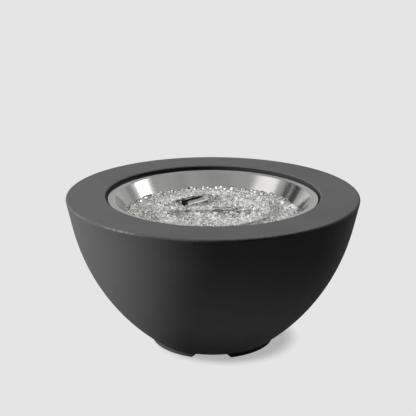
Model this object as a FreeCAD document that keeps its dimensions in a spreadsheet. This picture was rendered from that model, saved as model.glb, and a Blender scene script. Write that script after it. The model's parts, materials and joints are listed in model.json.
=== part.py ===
import FreeCAD, Part
import math
import os
import re
import Sketcher

# A gas fire pit bowl, in millimetres. A cast concrete bowl on a notched foot ring carries a
# drop-in stainless steel pan with a ported burner, a bed of glass gems and a pilot hood.
# The gas valve and the battery igniter sit in a tilted recess high in the back wall.
# +Z is up, the origin is the centre of the foot's resting face, and the front faces -Y.

V = FreeCAD.Vector

SIZES = {
    # the cast bowl
    "total_height": 384,
    "rim_radius": 372.6,
    "opening_radius": 272.3,
    "wall_draft": 12.6,
    "straight_depth": 71,
    "wall_thickness": 18,
    "rim_thickness": 30,
    "rim_edge_fillet": 5,
    "opening_edge": 2,
    "slab_haunch": 14,
    "ledge_depth": 9.6,
    "ledge_width": 18.3,
    "foot_radius": 157.5,
    "foot_width": 34,
    "foot_wall": 9.5,
    "floor_thickness": 26,
    "floor_hole_radius": 45,
    "notch_height": 11,
    "notch_base_width": 98,
    "notch_top_width": 75,
    "notch_turn": -1,
    "notch_count": 3,
    # the recess for the controls, in the back wall
    "panel_drop": 115,
    "panel_tilt": 17.5,
    "panel_depth": 14,
    "panel_width": 150,
    "panel_height": 90,
    "panel_gap": 2,
    "panel_corner": 8,
    "panel_border": 14,
    "plate_thickness": 1.5,
    "boss_depth": 20,
    "boss_margin": 17,
    "boss_root": 3,
    "panel_screw_radius": 2,
    "panel_screw_length": 11,
    "screw_head_radius": 3.8,
    "screw_head_height": 2.2,
    "control_spacing": 64,
    # the drop-in pan
    "flange_clearance": 6.4,
    "pan_sheet": 1.5,
    "pan_mouth_radius": 249,
    "pan_wall_angle": 34.8,
    "pan_depth": 75,
    "pan_bend": 2.5,
    "pan_drain_radius": 3,
    "pan_drain_circle": 176,
    # the burner
    "ring_radius": 134,
    "tube_width": 19,
    "tube_height": 16,
    "tube_sheet": 1.5,
    "tube_edge": 2.5,
    "bar_drop": 43,
    "port_radius": 1.2,
    "ring_port_count": 12,
    "bar_port_pitch": 28,
    "hub_radius": 18,
    "hub_washer_radius": 24,
    "hub_washer_sheet": 4,
    "jam_nut_across": 30,
    "jam_nut_height": 6,
    "stand_sheet": 2,
    "stand_width": 16,
    "nipple_radius": 10.5,
    "nipple_bore": 7.5,
    "nipple_below": 22,
    "mixer_length": 48,
    "mixer_radius": 14,
    "mixer_wall": 3,
    "mixer_collar": 12,
    "mixer_inlet_radius": 4.5,
    "mixer_inlet_depth": 5,
    "shutter_length": 20,
    "shutter_sheet": 1.5,
    "air_window_width": 10,
    "air_window_height": 12,
    "orifice_hex": 17,
    "orifice_hex_length": 9,
    "orifice_spigot": 10.5,
    "orifice_bore": 1.2,
    # the pilot
    "hood_x": -45,
    "hood_y": 61,
    "hood_turn": 44,
    "hood_length": 77,
    "hood_width": 24,
    "hood_height": 20,
    "hood_drop": 37,
    "hood_sheet": 1.2,
    "hood_leg_width": 12,
    "hood_leg_offset": 24,
    "hood_foot": 9,
    "hood_bend": 2,
    "hood_groove_half": 2.5,
    "hood_groove_depth": 1.2,
    "hood_vent_drop": 6,
    "hood_vent_height": 6,
    "shield_length": 65,
    "shield_shift": -3.5,
    "shield_overlap": 6,
    "shield_rise": 3.2,
    "pilot_screw_radius": 3,
    "pilot_screw_height": 2,
    "probe_radius": 3,
    "ceramic_radius": 3.4,
    "probe_below": 22,
    "spark_wire_radius": 1.2,
    "spark_wire_length": 8,
    "ceramic_above": 5,
    "sensor_above": 11,
    "ground_stud_radius": 3.5,
    "ground_stud_height": 3,
    "ground_stud_offset": 14,
    # the glass
    "glass_edge_drop": 46,
    "glass_crown": 4,
    "glass_flat_radius": 60,
    "glass_clearance": 0.5,
    "gem_size": 16,
    "gem_count": 300,
    # gas valve
    "valve_side": 32,
    "valve_corner": 3,
    "valve_front": 14,
    "valve_length": 44,
    "plug_radius": 9,
    "plug_length": 28,
    "plug_top": 21,
    "stem_radius": 4,
    "stem_reach": 24,
    "knob_travel": 3,
    "bonnet_height": 5,
    "valve_nut_across": 22,
    "valve_nut_height": 4,
    "collar_radius": 6.2,
    "collar_height": 1.5,
    "washer_sheet": 0.8,
    "neck_wall": 1.4,
    "neck_lip": 3,
    "neck_radius": 7.9,
    "neck_reach": 8,
    "inlet_depth": 36,
    "outlet_depth": 46,
    "boss_radius": 9,
    "boss_reach": 12,
    "gas_bore": 3.5,
    "inlet_thread_radius": 7.94,
    "inlet_thread_length": 14,
    "inlet_hex": 17,
    "hex_length": 8,
    "outlet_hex": 16,
    "outlet_spigot": 10.5,
    "flare_radius": 6.5,
    "flare_nose": 2.5,
    "flare_nut_across": 18,
    "flare_nut_length": 16,
    "flare_nut_depth": 13,
    "hose_radius": 6,
    "hose_straight": 34,
    "knob_skirt_radius": 20,
    "knob_grip_radius": 15,
    "knob_flutes": 10,
    "knob_skirt_height": 5,
    "knob_height": 21,
    "knob_standoff": 9,
    "magnet_radius": 8,
    "magnet_length": 22,
    "magnet_flange": 3,
    "magnet_flange_length": 4,
    # igniter
    "housing_radius": 12,
    "housing_length": 70,
    "housing_flange": 15,
    "cap_radius": 13.5,
    "cap_height": 7.5,
    "cap_thread_radius": 10,
    "cap_thread_length": 10,
    "button_radius": 6,
    "button_travel": 3,
    "button_stand": 1.5,
    "battery_radius": 7.15,
    "battery_length": 50.5,
    "blade_offset": 6,
    "blade_length": 8,
    "lead_radius": 1.5,
    "lead_straight": 14,
    "capillary_radius": 1.2,
    # fits
    "running_gap": 0.06,
    "slip_gap": 0.2,
    "fixed_gap": 0.3,
}

doc = FreeCAD.newDocument("fire_pit_bowl")
sheet = doc.addObject("Spreadsheet::Sheet", "Sizes")
for row, (alias, number) in enumerate(SIZES.items(), 1):
    sheet.set(f"A{row}", alias)
    sheet.set(f"B{row}", str(number))
    sheet.setAlias(f"B{row}", alias)
doc.recompute()

parts = {}


def bound(expression):
    """An expression with each size's name turned into a reference to the sheet."""
    return re.sub(r"[a-z][a-z_]+[a-z]", lambda m: "Sizes." + m[0] if m[0] in SIZES else m[0], str(expression))


def value(expression):
    """What an expression comes to now, as a plain number."""
    return float(sheet.evalExpression(bound(expression)))


def bind(thing, name, expression):
    thing.setExpression(name, bound(expression))


def frame_at(base, rotation=None):
    return FreeCAD.Placement(base, rotation or FreeCAD.Rotation())


# how the geometry of the bowl's wall follows from its sizes: a straight draft from the
# rim, then one arc, tangent to it, down to the top of the foot wall
TANGENT_R = "(rim_radius - straight_depth * tan(wall_draft))"
TANGENT_Z = "(total_height - straight_depth)"
RISE = f"({TANGENT_Z} - foot_wall)"
REACH = f"({TANGENT_R} - foot_radius)"
ARC = f"(({REACH}^2 + {RISE}^2) / (2 * ({REACH} * cos(wall_draft) - {RISE} * sin(wall_draft))))"
ARC_R = f"({TANGENT_R} - {ARC} * cos(wall_draft))"
ARC_Z = f"({TANGENT_Z} + {ARC} * sin(wall_draft))"
INNER_ARC = f"({ARC} - wall_thickness)"
INNER_R = f"({TANGENT_R} - wall_thickness * cos(wall_draft))"
INNER_Z = f"({TANGENT_Z} + wall_thickness * sin(wall_draft))"
FLOOR_TOP = "(notch_height + floor_thickness)"
SLAB_Z = "(total_height - rim_thickness)"
LEDGE_Z = "(total_height - ledge_depth)"
LEDGE_R = "(opening_radius - ledge_width)"

# heights of the pan and the burner
PAN_Z = "(total_height - pan_depth)"
FLANGE_TOP = f"({LEDGE_Z} + pan_sheet)"
PAN_SLOPE = "tan(pan_wall_angle)"
BAR_TOP = "(total_height - bar_drop)"
BAR_BASE = f"({BAR_TOP} - tube_height)"
MIXER_TOP = f"({PAN_Z} - nipple_below)"
MIXER_BASE = f"({MIXER_TOP} - mixer_length)"


def new_body(name):
    body = doc.addObject("PartDesign::Body", name)
    body.Label = name
    parts[name] = body
    return body


def sketch_on(body, name, role, shift="0", frame=None):
    """A sketch on one of the body's own origin planes, moved along its normal, or in a frame."""
    plane = next(f for f in body.Origin.OriginFeatures if f.Role == role)
    sketch = body.newObject("Sketcher::SketchObject", name)
    sketch.AttachmentSupport = [(plane, "")]
    sketch.MapMode = "FlatFace"
    if frame:
        sketch.AttachmentOffset = frame
    elif shift != "0":
        sketch.AttachmentOffset = frame_at(V(0, 0, value(shift)))
        bind(sketch, "AttachmentOffset.Base.z", shift)
    return sketch


def pin_point(sketch, geometry, end, across, up):
    """Holds one point of a sketch at a place given by two expressions."""
    for kind, expression in (("DistanceX", across), ("DistanceY", up)):
        index = sketch.addConstraint(
            Sketcher.Constraint(kind, -1, 1, geometry, end, value(expression)))
        bind(sketch, f"Constraints[{index}]", expression)


def draw_outline(sketch, corners):
    """A closed outline. A corner is (x, y), or (x, y, radius, side) where an arc runs on to
    the next corner: side is 1 with the arc's centre on the left of the way, -1 on the right."""
    count = len(corners)
    ends = []
    for i, corner in enumerate(corners):
        start = V(value(corner[0]), value(corner[1]), 0)
        follower = corners[(i + 1) % count]
        stop = V(value(follower[0]), value(follower[1]), 0)
        if len(corner) == 2:
            sketch.addGeometry(Part.LineSegment(start, stop))
            ends.append((1, 2))
            continue
        radius = value(corner[2])
        along = stop - start
        middle = start + along * 0.5
        left = V(-along.y, along.x, 0).normalize()
        height = math.sqrt(max(radius ** 2 - along.Length ** 2 / 4, 0))
        centre = middle + left * (height * corner[3])
        first, last = (start, stop) if corner[3] > 0 else (stop, start)
        angles = [math.atan2(p.y - centre.y, p.x - centre.x) for p in (first, last)]
        circle = Part.Circle(centre, V(0, 0, 1), radius)
        sketch.addGeometry(Part.ArcOfCircle(circle, angles[0], angles[1]))
        ends.append((1, 2) if corner[3] > 0 else (2, 1))
    for i, corner in enumerate(corners):
        after = (i + 1) % count
        sketch.addConstraint(Sketcher.Constraint("Coincident", i, ends[i][1], after, ends[after][0]))
        pin_point(sketch, i, ends[i][0], corner[0], corner[1])
    for i, corner in enumerate(corners):
        if len(corner) > 2:
            index = sketch.addConstraint(Sketcher.Constraint("Radius", i, value(corner[2])))
            bind(sketch, f"Constraints[{index}]", corner[2])


def draw_circles(sketch, circles):
    """Circles, each given as (x, y, radius)."""
    for across, up, radius in circles:
        centre = V(value(across), value(up), 0)
        geometry = sketch.addGeometry(Part.Circle(centre, V(0, 0, 1), value(radius)))
        pin_point(sketch, geometry, 3, across, up)
        index = sketch.addConstraint(Sketcher.Constraint("Radius", geometry, value(radius)))
        bind(sketch, f"Constraints[{index}]", radius)


def rectangle(half_x, half_y):
    low_x = f"-({half_x})"
    low_y = f"-({half_y})"
    return [(low_x, low_y), (half_x, low_y), (half_x, half_y), (low_x, half_y)]


def rounded(half_x, half_y, radius):
    """A rectangle about the origin with round corners."""
    x, y, r = f"({half_x})", f"({half_y})", f"({radius})"
    corners = []
    for sx, sy in ((1, 1), (-1, 1), (-1, -1), (1, -1)):
        near_x = f"{sx} * ({x} - {r})"
        near_y = f"{sy} * ({y} - {r})"
        side = (f"{sx} * {x}", near_y)
        end = (near_x, f"{sy} * {y}")
        first, last = (side, end) if sx * sy > 0 else (end, side)
        corners.append((first[0], first[1], radius, 1))
        corners.append(last)
    return corners


def hexagon(across):
    return [(f"{across} / 2 / cos(30) * cos({60 * i})", f"{across} / 2 / cos(30) * sin({60 * i})")
            for i in range(6)]


def spin(body, name, corners):
    """A full turn of an outline of (radius, height) corners about the body's Z axis."""
    sketch = sketch_on(body, name + "_outline", "XZ_Plane")
    draw_outline(sketch, corners)
    turn = body.newObject("PartDesign::Revolution", name)
    turn.Profile = sketch
    turn.ReferenceAxis = (sketch, ["V_Axis"])
    turn.Angle = 360
    doc.recompute()
    return turn


def pad(body, sketch, length, midplane=False, reverse=False):
    feature = body.newObject("PartDesign::Pad", sketch.Name + "_pad")
    feature.Profile = sketch
    bind(feature, "Length", length)
    feature.Midplane = midplane
    feature.Reversed = reverse
    doc.recompute()
    return feature


def pocket(body, sketch, length, midplane=False, reverse=False):
    """A cut, which must take something away."""
    before = body.Shape.Volume
    feature = body.newObject("PartDesign::Pocket", sketch.Name + "_cut")
    feature.Profile = sketch
    bind(feature, "Length", length)
    feature.Midplane = midplane
    feature.Reversed = reverse
    doc.recompute()
    if body.Shape.Volume > before - 1e-3:
        raise RuntimeError(f"{body.Label}: {feature.Name} cuts nothing")
    return feature


def around(body, feature, count):
    """Repeats a feature evenly about the body's Z axis."""
    axis = next(f for f in body.Origin.OriginFeatures if f.Role == "Z_Axis")
    pattern = body.newObject("PartDesign::PolarPattern", feature.Name + "_around")
    pattern.Originals = [feature]
    pattern.Axis = (axis, [""])
    pattern.Angle = 360
    bind(pattern, "Occurrences", count)
    body.Tip = pattern
    doc.recompute()
    return pattern


def soften(body, rings, radius):
    """Fillets the circular edges that have the given (radius, height) pairs."""
    names = []
    for r, z in rings:
        for i, edge in enumerate(body.Shape.Edges, 1):
            curve = edge.Curve
            if not isinstance(curve, Part.Circle):
                continue
            if abs(curve.Radius - value(r)) < 0.01 and abs(curve.Center.z - value(z)) < 0.01:
                names.append(f"Edge{i}")
    if len(names) < len(rings):
        raise RuntimeError(f"{body.Label}: an edge to round is missing")
    base = body.Tip
    feature = body.newObject("PartDesign::Fillet", "rounding")
    feature.Base = (base, names)
    bind(feature, "Radius", radius)
    doc.recompute()
    return feature


def turned(name, corners, place=None):
    """A piece that is one turned outline."""
    body = new_body(name)
    spin(body, name + "_turned", corners)
    if place:
        body.Placement = place
    return body


def plain_piece(name, shape, place=None):
    """A piece from a ready shape, which may be a group of equal solids."""
    feature = doc.addObject("Part::Feature", name)
    feature.Label = name
    feature.Shape = shape
    if place:
        feature.Placement = place
    parts[name] = feature


# the tilted frame of the control panel: its Z points out of the back wall, its Y up the
# wall, and its X to the right of someone who stands behind the bowl
tilt = math.radians(value("panel_tilt"))
outward = V(0, math.cos(tilt), -math.sin(tilt))
upward = V(0, math.sin(tilt), math.cos(tilt))
panel_turn = FreeCAD.Rotation(V(-1, 0, 0), upward, outward, "ZXY")
wall_z = value("total_height - panel_drop")
wall_r = value(f"{ARC_R} + sqrt({ARC}^2 - (total_height - panel_drop - {ARC_Z})^2)")
panel_base = V(0, wall_r, wall_z) - outward * value("panel_depth")
panel_frame = frame_at(panel_base, panel_turn)


def on_panel(x, y, z, rotation=None):
    """A frame at a place given in the panel's own frame."""
    return panel_frame.multiply(frame_at(V(value(x), value(y), value(z)), rotation))


def inner_point(share):
    """A corner of the rough inside of the wall, at a share of the way up from the floor."""
    up = f"({FLOOR_TOP} + ({INNER_Z} - {FLOOR_TOP}) * {share})"
    return f"({ARC_R} + sqrt({INNER_ARC}^2 - ({ARC_Z} - {up})^2))", up


def make_bowl_shell():
    body = new_body("bowl_shell")
    foot_inner = "(foot_radius - foot_width)"
    slab_r = f"({INNER_R} + ({SLAB_Z} - {INNER_Z}) * tan(wall_draft))"
    haunch_r = f"({slab_r} - slab_haunch * tan(wall_draft))"
    floor_r = f"({ARC_R} + sqrt({INNER_ARC}^2 - ({ARC_Z} - {FLOOR_TOP})^2))"
    spin(body, "cast_wall", [
        (foot_inner, "0"),
        ("foot_radius", "0"),
        ("foot_radius", "foot_wall", ARC, 1),
        (TANGENT_R, TANGENT_Z),
        ("rim_radius", "total_height"),
        ("opening_radius + opening_edge", "total_height"),
        ("opening_radius", "total_height - opening_edge"),
        ("opening_radius", LEDGE_Z),
        (LEDGE_R, LEDGE_Z),
        (LEDGE_R, SLAB_Z),
        (f"{slab_r} - slab_haunch", SLAB_Z),
        (haunch_r, f"{SLAB_Z} - slab_haunch"),
        (INNER_R, INNER_Z),
        inner_point(0.62),
        inner_point(0.3),
        inner_point(0.1),
        (floor_r, FLOOR_TOP),
        ("floor_hole_radius", FLOOR_TOP),
        ("floor_hole_radius", "notch_height"),
        (foot_inner, "notch_height"),
    ])
    soften(body, [("rim_radius", "total_height")], "rim_edge_fillet")

    # the thick pad inside the wall that the controls are fixed to, and the recess outside
    behind = on_panel("0", "0", "-boss_depth")
    boss = sketch_on(body, "boss", "XY_Plane", frame=behind)
    draw_outline(boss, rectangle("(panel_width / 2 + boss_margin)", "(panel_height / 2 + boss_margin)"))
    pad(body, boss, "boss_depth - boss_root")
    recess = sketch_on(body, "recess", "XY_Plane", frame=panel_frame)
    draw_outline(recess, rounded("(panel_width / 2 + panel_gap)", "(panel_height / 2 + panel_gap)",
                                 "panel_corner + panel_gap"))
    pocket(body, recess, "panel_depth * 4", reverse=True)
    window = sketch_on(body, "window", "XY_Plane", frame=panel_frame)
    draw_outline(window, rounded("(panel_width / 2 - panel_border)", "(panel_height / 2 - panel_border)",
                                 "panel_corner"))
    pocket(body, window, "boss_depth * 2")
    holes = sketch_on(body, "screw_holes", "XY_Plane", frame=panel_frame)
    draw_circles(holes, panel_screw_places("panel_screw_radius + slip_gap / 2"))
    pocket(body, holes, "panel_screw_length + fixed_gap")

    front = frame_at(V(0, 0, 0), FreeCAD.Rotation(V(0, 1, 0), value("notch_turn")))
    notch = sketch_on(body, "notch", "XZ_Plane", frame=front)
    draw_outline(notch, [
        ("-notch_base_width / 2", "-1"),
        ("notch_base_width / 2", "-1"),
        ("notch_base_width / 2", "0"),
        ("notch_top_width / 2", "notch_height"),
        ("-notch_top_width / 2", "notch_height"),
        ("-notch_base_width / 2", "0"),
    ])
    cut = pocket(body, notch, "rim_radius", reverse=True)
    around(body, cut, "notch_count")
    return body


def panel_screw_places(radius):
    x = "(panel_width / 2 - panel_border / 2)"
    y = "(panel_height / 2 - panel_border / 2)"
    return [(f"{sx} * {x}", f"{sy} * {y}", radius) for sx in (-1, 1) for sy in (-1, 1)]


VALVE_X = "(-control_spacing / 2)"
IGNITER_X = "(control_spacing / 2)"


def make_control_plate():
    body = new_body("control_plate")
    blank = sketch_on(body, "blank", "XY_Plane")
    draw_outline(blank, rounded("panel_width / 2", "panel_height / 2", "panel_corner"))
    pad(body, blank, "plate_thickness")
    holes = sketch_on(body, "plate_holes", "XY_Plane")
    draw_circles(holes, panel_screw_places("panel_screw_radius + slip_gap") + [
        (VALVE_X, "0", "neck_radius + slip_gap"),
        (IGNITER_X, "0", "housing_radius + slip_gap"),
    ])
    pocket(body, holes, "plate_thickness * 3", midplane=True)
    body.Placement = panel_frame


def make_panel_screws():
    """Four pan-head screws, as a group of separate solids."""
    screws = []
    for x, y, radius in panel_screw_places("panel_screw_radius"):
        place = on_panel(x, y, "0")
        seat = value("plate_thickness")
        shank = Part.makeCylinder(value(radius), value("panel_screw_length") + seat,
                                  V(0, 0, -value("panel_screw_length")))
        head = Part.makeCylinder(value("screw_head_radius"), value("screw_head_height"), V(0, 0, seat))
        screw = shank.fuse(head).removeSplitter()
        screw.Placement = place
        screws.append(screw)
    plain_piece("panel_screws", Part.makeCompound(screws))


valve_frame = on_panel(VALVE_X, "0", "0")
igniter_frame = on_panel(IGNITER_X, "0", "0")
down_turn = FreeCAD.Rotation(V(1, 0, 0), 90)
side_turn = FreeCAD.Rotation(V(0, 1, 0), -90)


def in_valve(x, y, z, rotation=None):
    return valve_frame.multiply(frame_at(V(value(x), value(y), value(z)), rotation))


def make_valve():
    body = new_body("valve_body")
    block = sketch_on(body, "block", "XY_Plane", shift="-valve_front - valve_length")
    draw_outline(block, rounded("valve_side / 2", "valve_side / 2", "valve_corner"))
    pad(body, block, "valve_length")
    inlet = sketch_on(body, "inlet_boss", "XZ_Plane", shift="valve_side / 4")
    draw_circles(inlet, [("0", "-inlet_depth", "boss_radius")])
    pad(body, inlet, "valve_side / 4 + boss_reach")
    outlet = sketch_on(body, "outlet_boss", "YZ_Plane", shift="-valve_side / 4")
    draw_circles(outlet, [("0", "-outlet_depth", "boss_radius")])
    pad(body, outlet, "valve_side / 4 + boss_reach", reverse=True)
    bore = sketch_on(body, "plug_bore", "XY_Plane", shift="-valve_front")
    draw_circles(bore, [("0", "0", "plug_radius + running_gap")])
    pocket(body, bore, "plug_top - valve_front + plug_length + slip_gap")
    inlet_bore = sketch_on(body, "inlet_bore", "XZ_Plane")
    draw_circles(inlet_bore, [("0", "-inlet_depth", "gas_bore")])
    pocket(body, inlet_bore, "valve_side", reverse=True)
    outlet_bore = sketch_on(body, "outlet_bore", "YZ_Plane")
    draw_circles(outlet_bore, [("0", "-outlet_depth", "gas_bore")])
    pocket(body, outlet_bore, "valve_side")
    body.Placement = valve_frame

    plug = new_body("valve_plug")
    spin(plug, "plug_core", [
        ("0", "-plug_top - plug_length"),
        ("plug_radius", "-plug_top - plug_length"),
        ("plug_radius", "-plug_top"),
        ("0", "-plug_top"),
    ])
    slot = sketch_on(plug, "slot", "XY_Plane", shift="-plug_top")
    draw_outline(slot, rectangle("stem_radius / 2 + slip_gap / 2", "plug_radius * 2"))
    pocket(plug, slot, "stem_radius * 2 + knob_travel")
    passage = sketch_on(plug, "passage", "XZ_Plane")
    draw_circles(passage, [("0", "-inlet_depth", "gas_bore")])
    pocket(plug, passage, "plug_radius * 3", midplane=True)
    plug.Placement = valve_frame

    turned("valve_bonnet", [
        ("neck_radius - neck_wall", "-valve_front"),
        ("valve_side / 2 - 1", "-valve_front"),
        ("valve_side / 2 - 1", "-valve_front + bonnet_height"),
        ("neck_radius", "-valve_front + bonnet_height"),
        ("neck_radius", "neck_reach"),
        ("stem_radius + running_gap", "neck_reach"),
        ("stem_radius + running_gap", "neck_reach - neck_lip"),
        ("neck_radius - neck_wall", "neck_reach - neck_lip"),
    ], valve_frame)

    nut = new_body("valve_nut")
    flats = sketch_on(nut, "nut_flats", "XY_Plane", shift="plate_thickness")
    draw_outline(flats, hexagon("valve_nut_across"))
    pad(nut, flats, "valve_nut_height")
    thread = sketch_on(nut, "nut_thread", "XY_Plane")
    draw_circles(thread, [("0", "0", "neck_radius + slip_gap / 2")])
    pocket(nut, thread, "valve_nut_height * 6", midplane=True)
    nut.Placement = valve_frame

    # the stem's collar is held by the bonnet's shoulder, and its tongue drives the plug
    collar_top = "(neck_reach - neck_lip - slip_gap)"
    collar_base = f"({collar_top} - collar_height)"
    washer_base = f"({collar_base} - washer_sheet)"
    stem = new_body("valve_stem")
    spin(stem, "stem_round", [
        ("0", "-plug_top + 4"),
        ("stem_radius", "-plug_top + 4"),
        ("stem_radius", collar_base),
        ("collar_radius", collar_base),
        ("collar_radius", collar_top),
        ("stem_radius", collar_top),
        ("stem_radius", "stem_reach"),
        ("0", "stem_reach"),
    ])
    tongue = sketch_on(stem, "tongue", "XY_Plane", shift="-plug_top + 4")
    draw_outline(tongue, rectangle("stem_radius / 2", "stem_radius * 0.8"))
    pad(stem, tongue, "10", reverse=True)
    flat = sketch_on(stem, "flat", "XY_Plane", shift="stem_reach")
    draw_outline(flat, [
        ("-stem_radius * 2", "stem_radius * 0.5"),
        ("stem_radius * 2", "stem_radius * 0.5"),
        ("stem_radius * 2", "stem_radius * 2"),
        ("-stem_radius * 2", "stem_radius * 2"),
    ])
    pocket(stem, flat, "9")
    stem.Placement = valve_frame

    turned("spring_washer", [
        ("stem_radius + running_gap", washer_base),
        ("collar_radius", washer_base),
        ("collar_radius", collar_base),
        ("stem_radius + running_gap", collar_base),
    ], valve_frame)
    turned("spring_seat", [
        ("stem_radius + slip_gap", "-valve_front - 1"),
        ("plug_radius", "-valve_front - 1"),
        ("plug_radius", "-valve_front"),
        ("stem_radius + slip_gap", "-valve_front"),
    ], valve_frame)
    spring("valve_spring", "stem_radius + 1.1", "-valve_front", washer_base, 0.8, 4, valve_frame)

    block_end = "(-valve_front - valve_length)"
    turned("safety_magnet", [
        ("0", f"{block_end} - magnet_length"),
        ("magnet_radius - 1", f"{block_end} - magnet_length"),
        ("magnet_radius", f"{block_end} - magnet_length + 1"),
        ("magnet_radius", f"{block_end} - magnet_flange_length"),
        ("magnet_radius + magnet_flange", f"{block_end} - magnet_flange_length"),
        ("magnet_radius + magnet_flange", block_end),
        ("0", block_end),
    ], valve_frame)


SPRING_STEPS = 12


def spring(name, mean_radius, base, top, wire, turns, place):
    """A compression spring of square wire between two flat seats."""
    low = value(base)
    length = value(top) - low
    radius = value(mean_radius)
    half = wire / 2
    climb = (length - wire) / (turns * SPRING_STEPS)
    corners = [(-half, -half), (half, -half), (half, half), (-half, half), (-half, -half)]
    sections = []
    for step in range(turns * SPRING_STEPS + 1):
        section = Part.makePolygon([V(radius + a, 0, low + half + climb * step + b) for a, b in corners])
        section.rotate(V(0, 0, 0), V(0, 0, 1), 360 * step / SPRING_STEPS)
        sections.append(section)
    coil = Part.makeLoft(sections, True, True)
    plain_piece(name, coil, place)


def make_knob():
    knob = new_body("valve_knob")
    base = "knob_standoff"
    top = "(knob_standoff + knob_height)"
    skirt = "(knob_standoff + knob_skirt_height)"
    spin(knob, "knob_form", [
        ("neck_radius + 2", base),
        ("knob_skirt_radius", base),
        ("knob_skirt_radius", f"{base} + 2"),
        ("knob_grip_radius + 1", skirt),
        ("knob_grip_radius", f"{top} - 2"),
        ("knob_grip_radius - 2", top),
        ("0", top),
        ("0", "stem_reach + slip_gap"),
        ("stem_radius + running_gap / 2", "stem_reach + slip_gap"),
        ("stem_radius + running_gap / 2", f"{base} + knob_travel + 2"),
        ("neck_radius + 2", f"{base} + knob_travel + 2"),
    ])
    flute = sketch_on(knob, "flute", "XY_Plane", shift=top)
    draw_circles(flute, [("knob_grip_radius + 2.2", "0", "3.2")])
    cut = pocket(knob, flute, "knob_height - knob_skirt_height - 1")
    around(knob, cut, "knob_flutes")
    pointer = sketch_on(knob, "pointer", "XY_Plane", shift=f"{top} - 0.5")
    draw_outline(pointer, [
        ("-1.2", "2"),
        ("1.2", "2"),
        ("1.2", "knob_grip_radius - 3"),
        ("-1.2", "knob_grip_radius - 3"),
    ])
    pad(knob, pointer, "1.3")
    knob.Placement = valve_frame


def make_fitting(name, hex_size, hex_height, thread, thread_length, bore, place):
    """A flare fitting: a hexagon, a threaded spigot with a coned nose, and a gas bore."""
    body = new_body(name)
    flats = sketch_on(body, name + "_flats", "XY_Plane")
    draw_outline(flats, hexagon(hex_size))
    pad(body, flats, hex_height)
    spin(body, name + "_spigot", [
        ("0", f"{hex_height} - 1"),
        (thread, f"{hex_height} - 1"),
        (thread, f"{hex_height} + {thread_length}"),
        (f"{thread} - flare_nose", f"{hex_height} + {thread_length} + flare_nose"),
        ("0", f"{hex_height} + {thread_length} + flare_nose"),
    ])
    hole = sketch_on(body, name + "_bore", "XY_Plane")
    draw_circles(hole, [("0", "0", bore)])
    pocket(body, hole, f"4 * ({hex_height} + {thread_length})", midplane=True)
    body.Placement = place


def make_nut(name, hex_size, length, bore, place):
    """A hexagon nut with a plain bore right through."""
    body = new_body(name)
    flats = sketch_on(body, name + "_flats", "XY_Plane")
    draw_outline(flats, hexagon(hex_size))
    pad(body, flats, length)
    hole = sketch_on(body, name + "_bore", "XY_Plane")
    draw_circles(hole, [("0", "0", bore)])
    pocket(body, hole, f"3 * {length}", midplane=True)
    body.Placement = place


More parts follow.
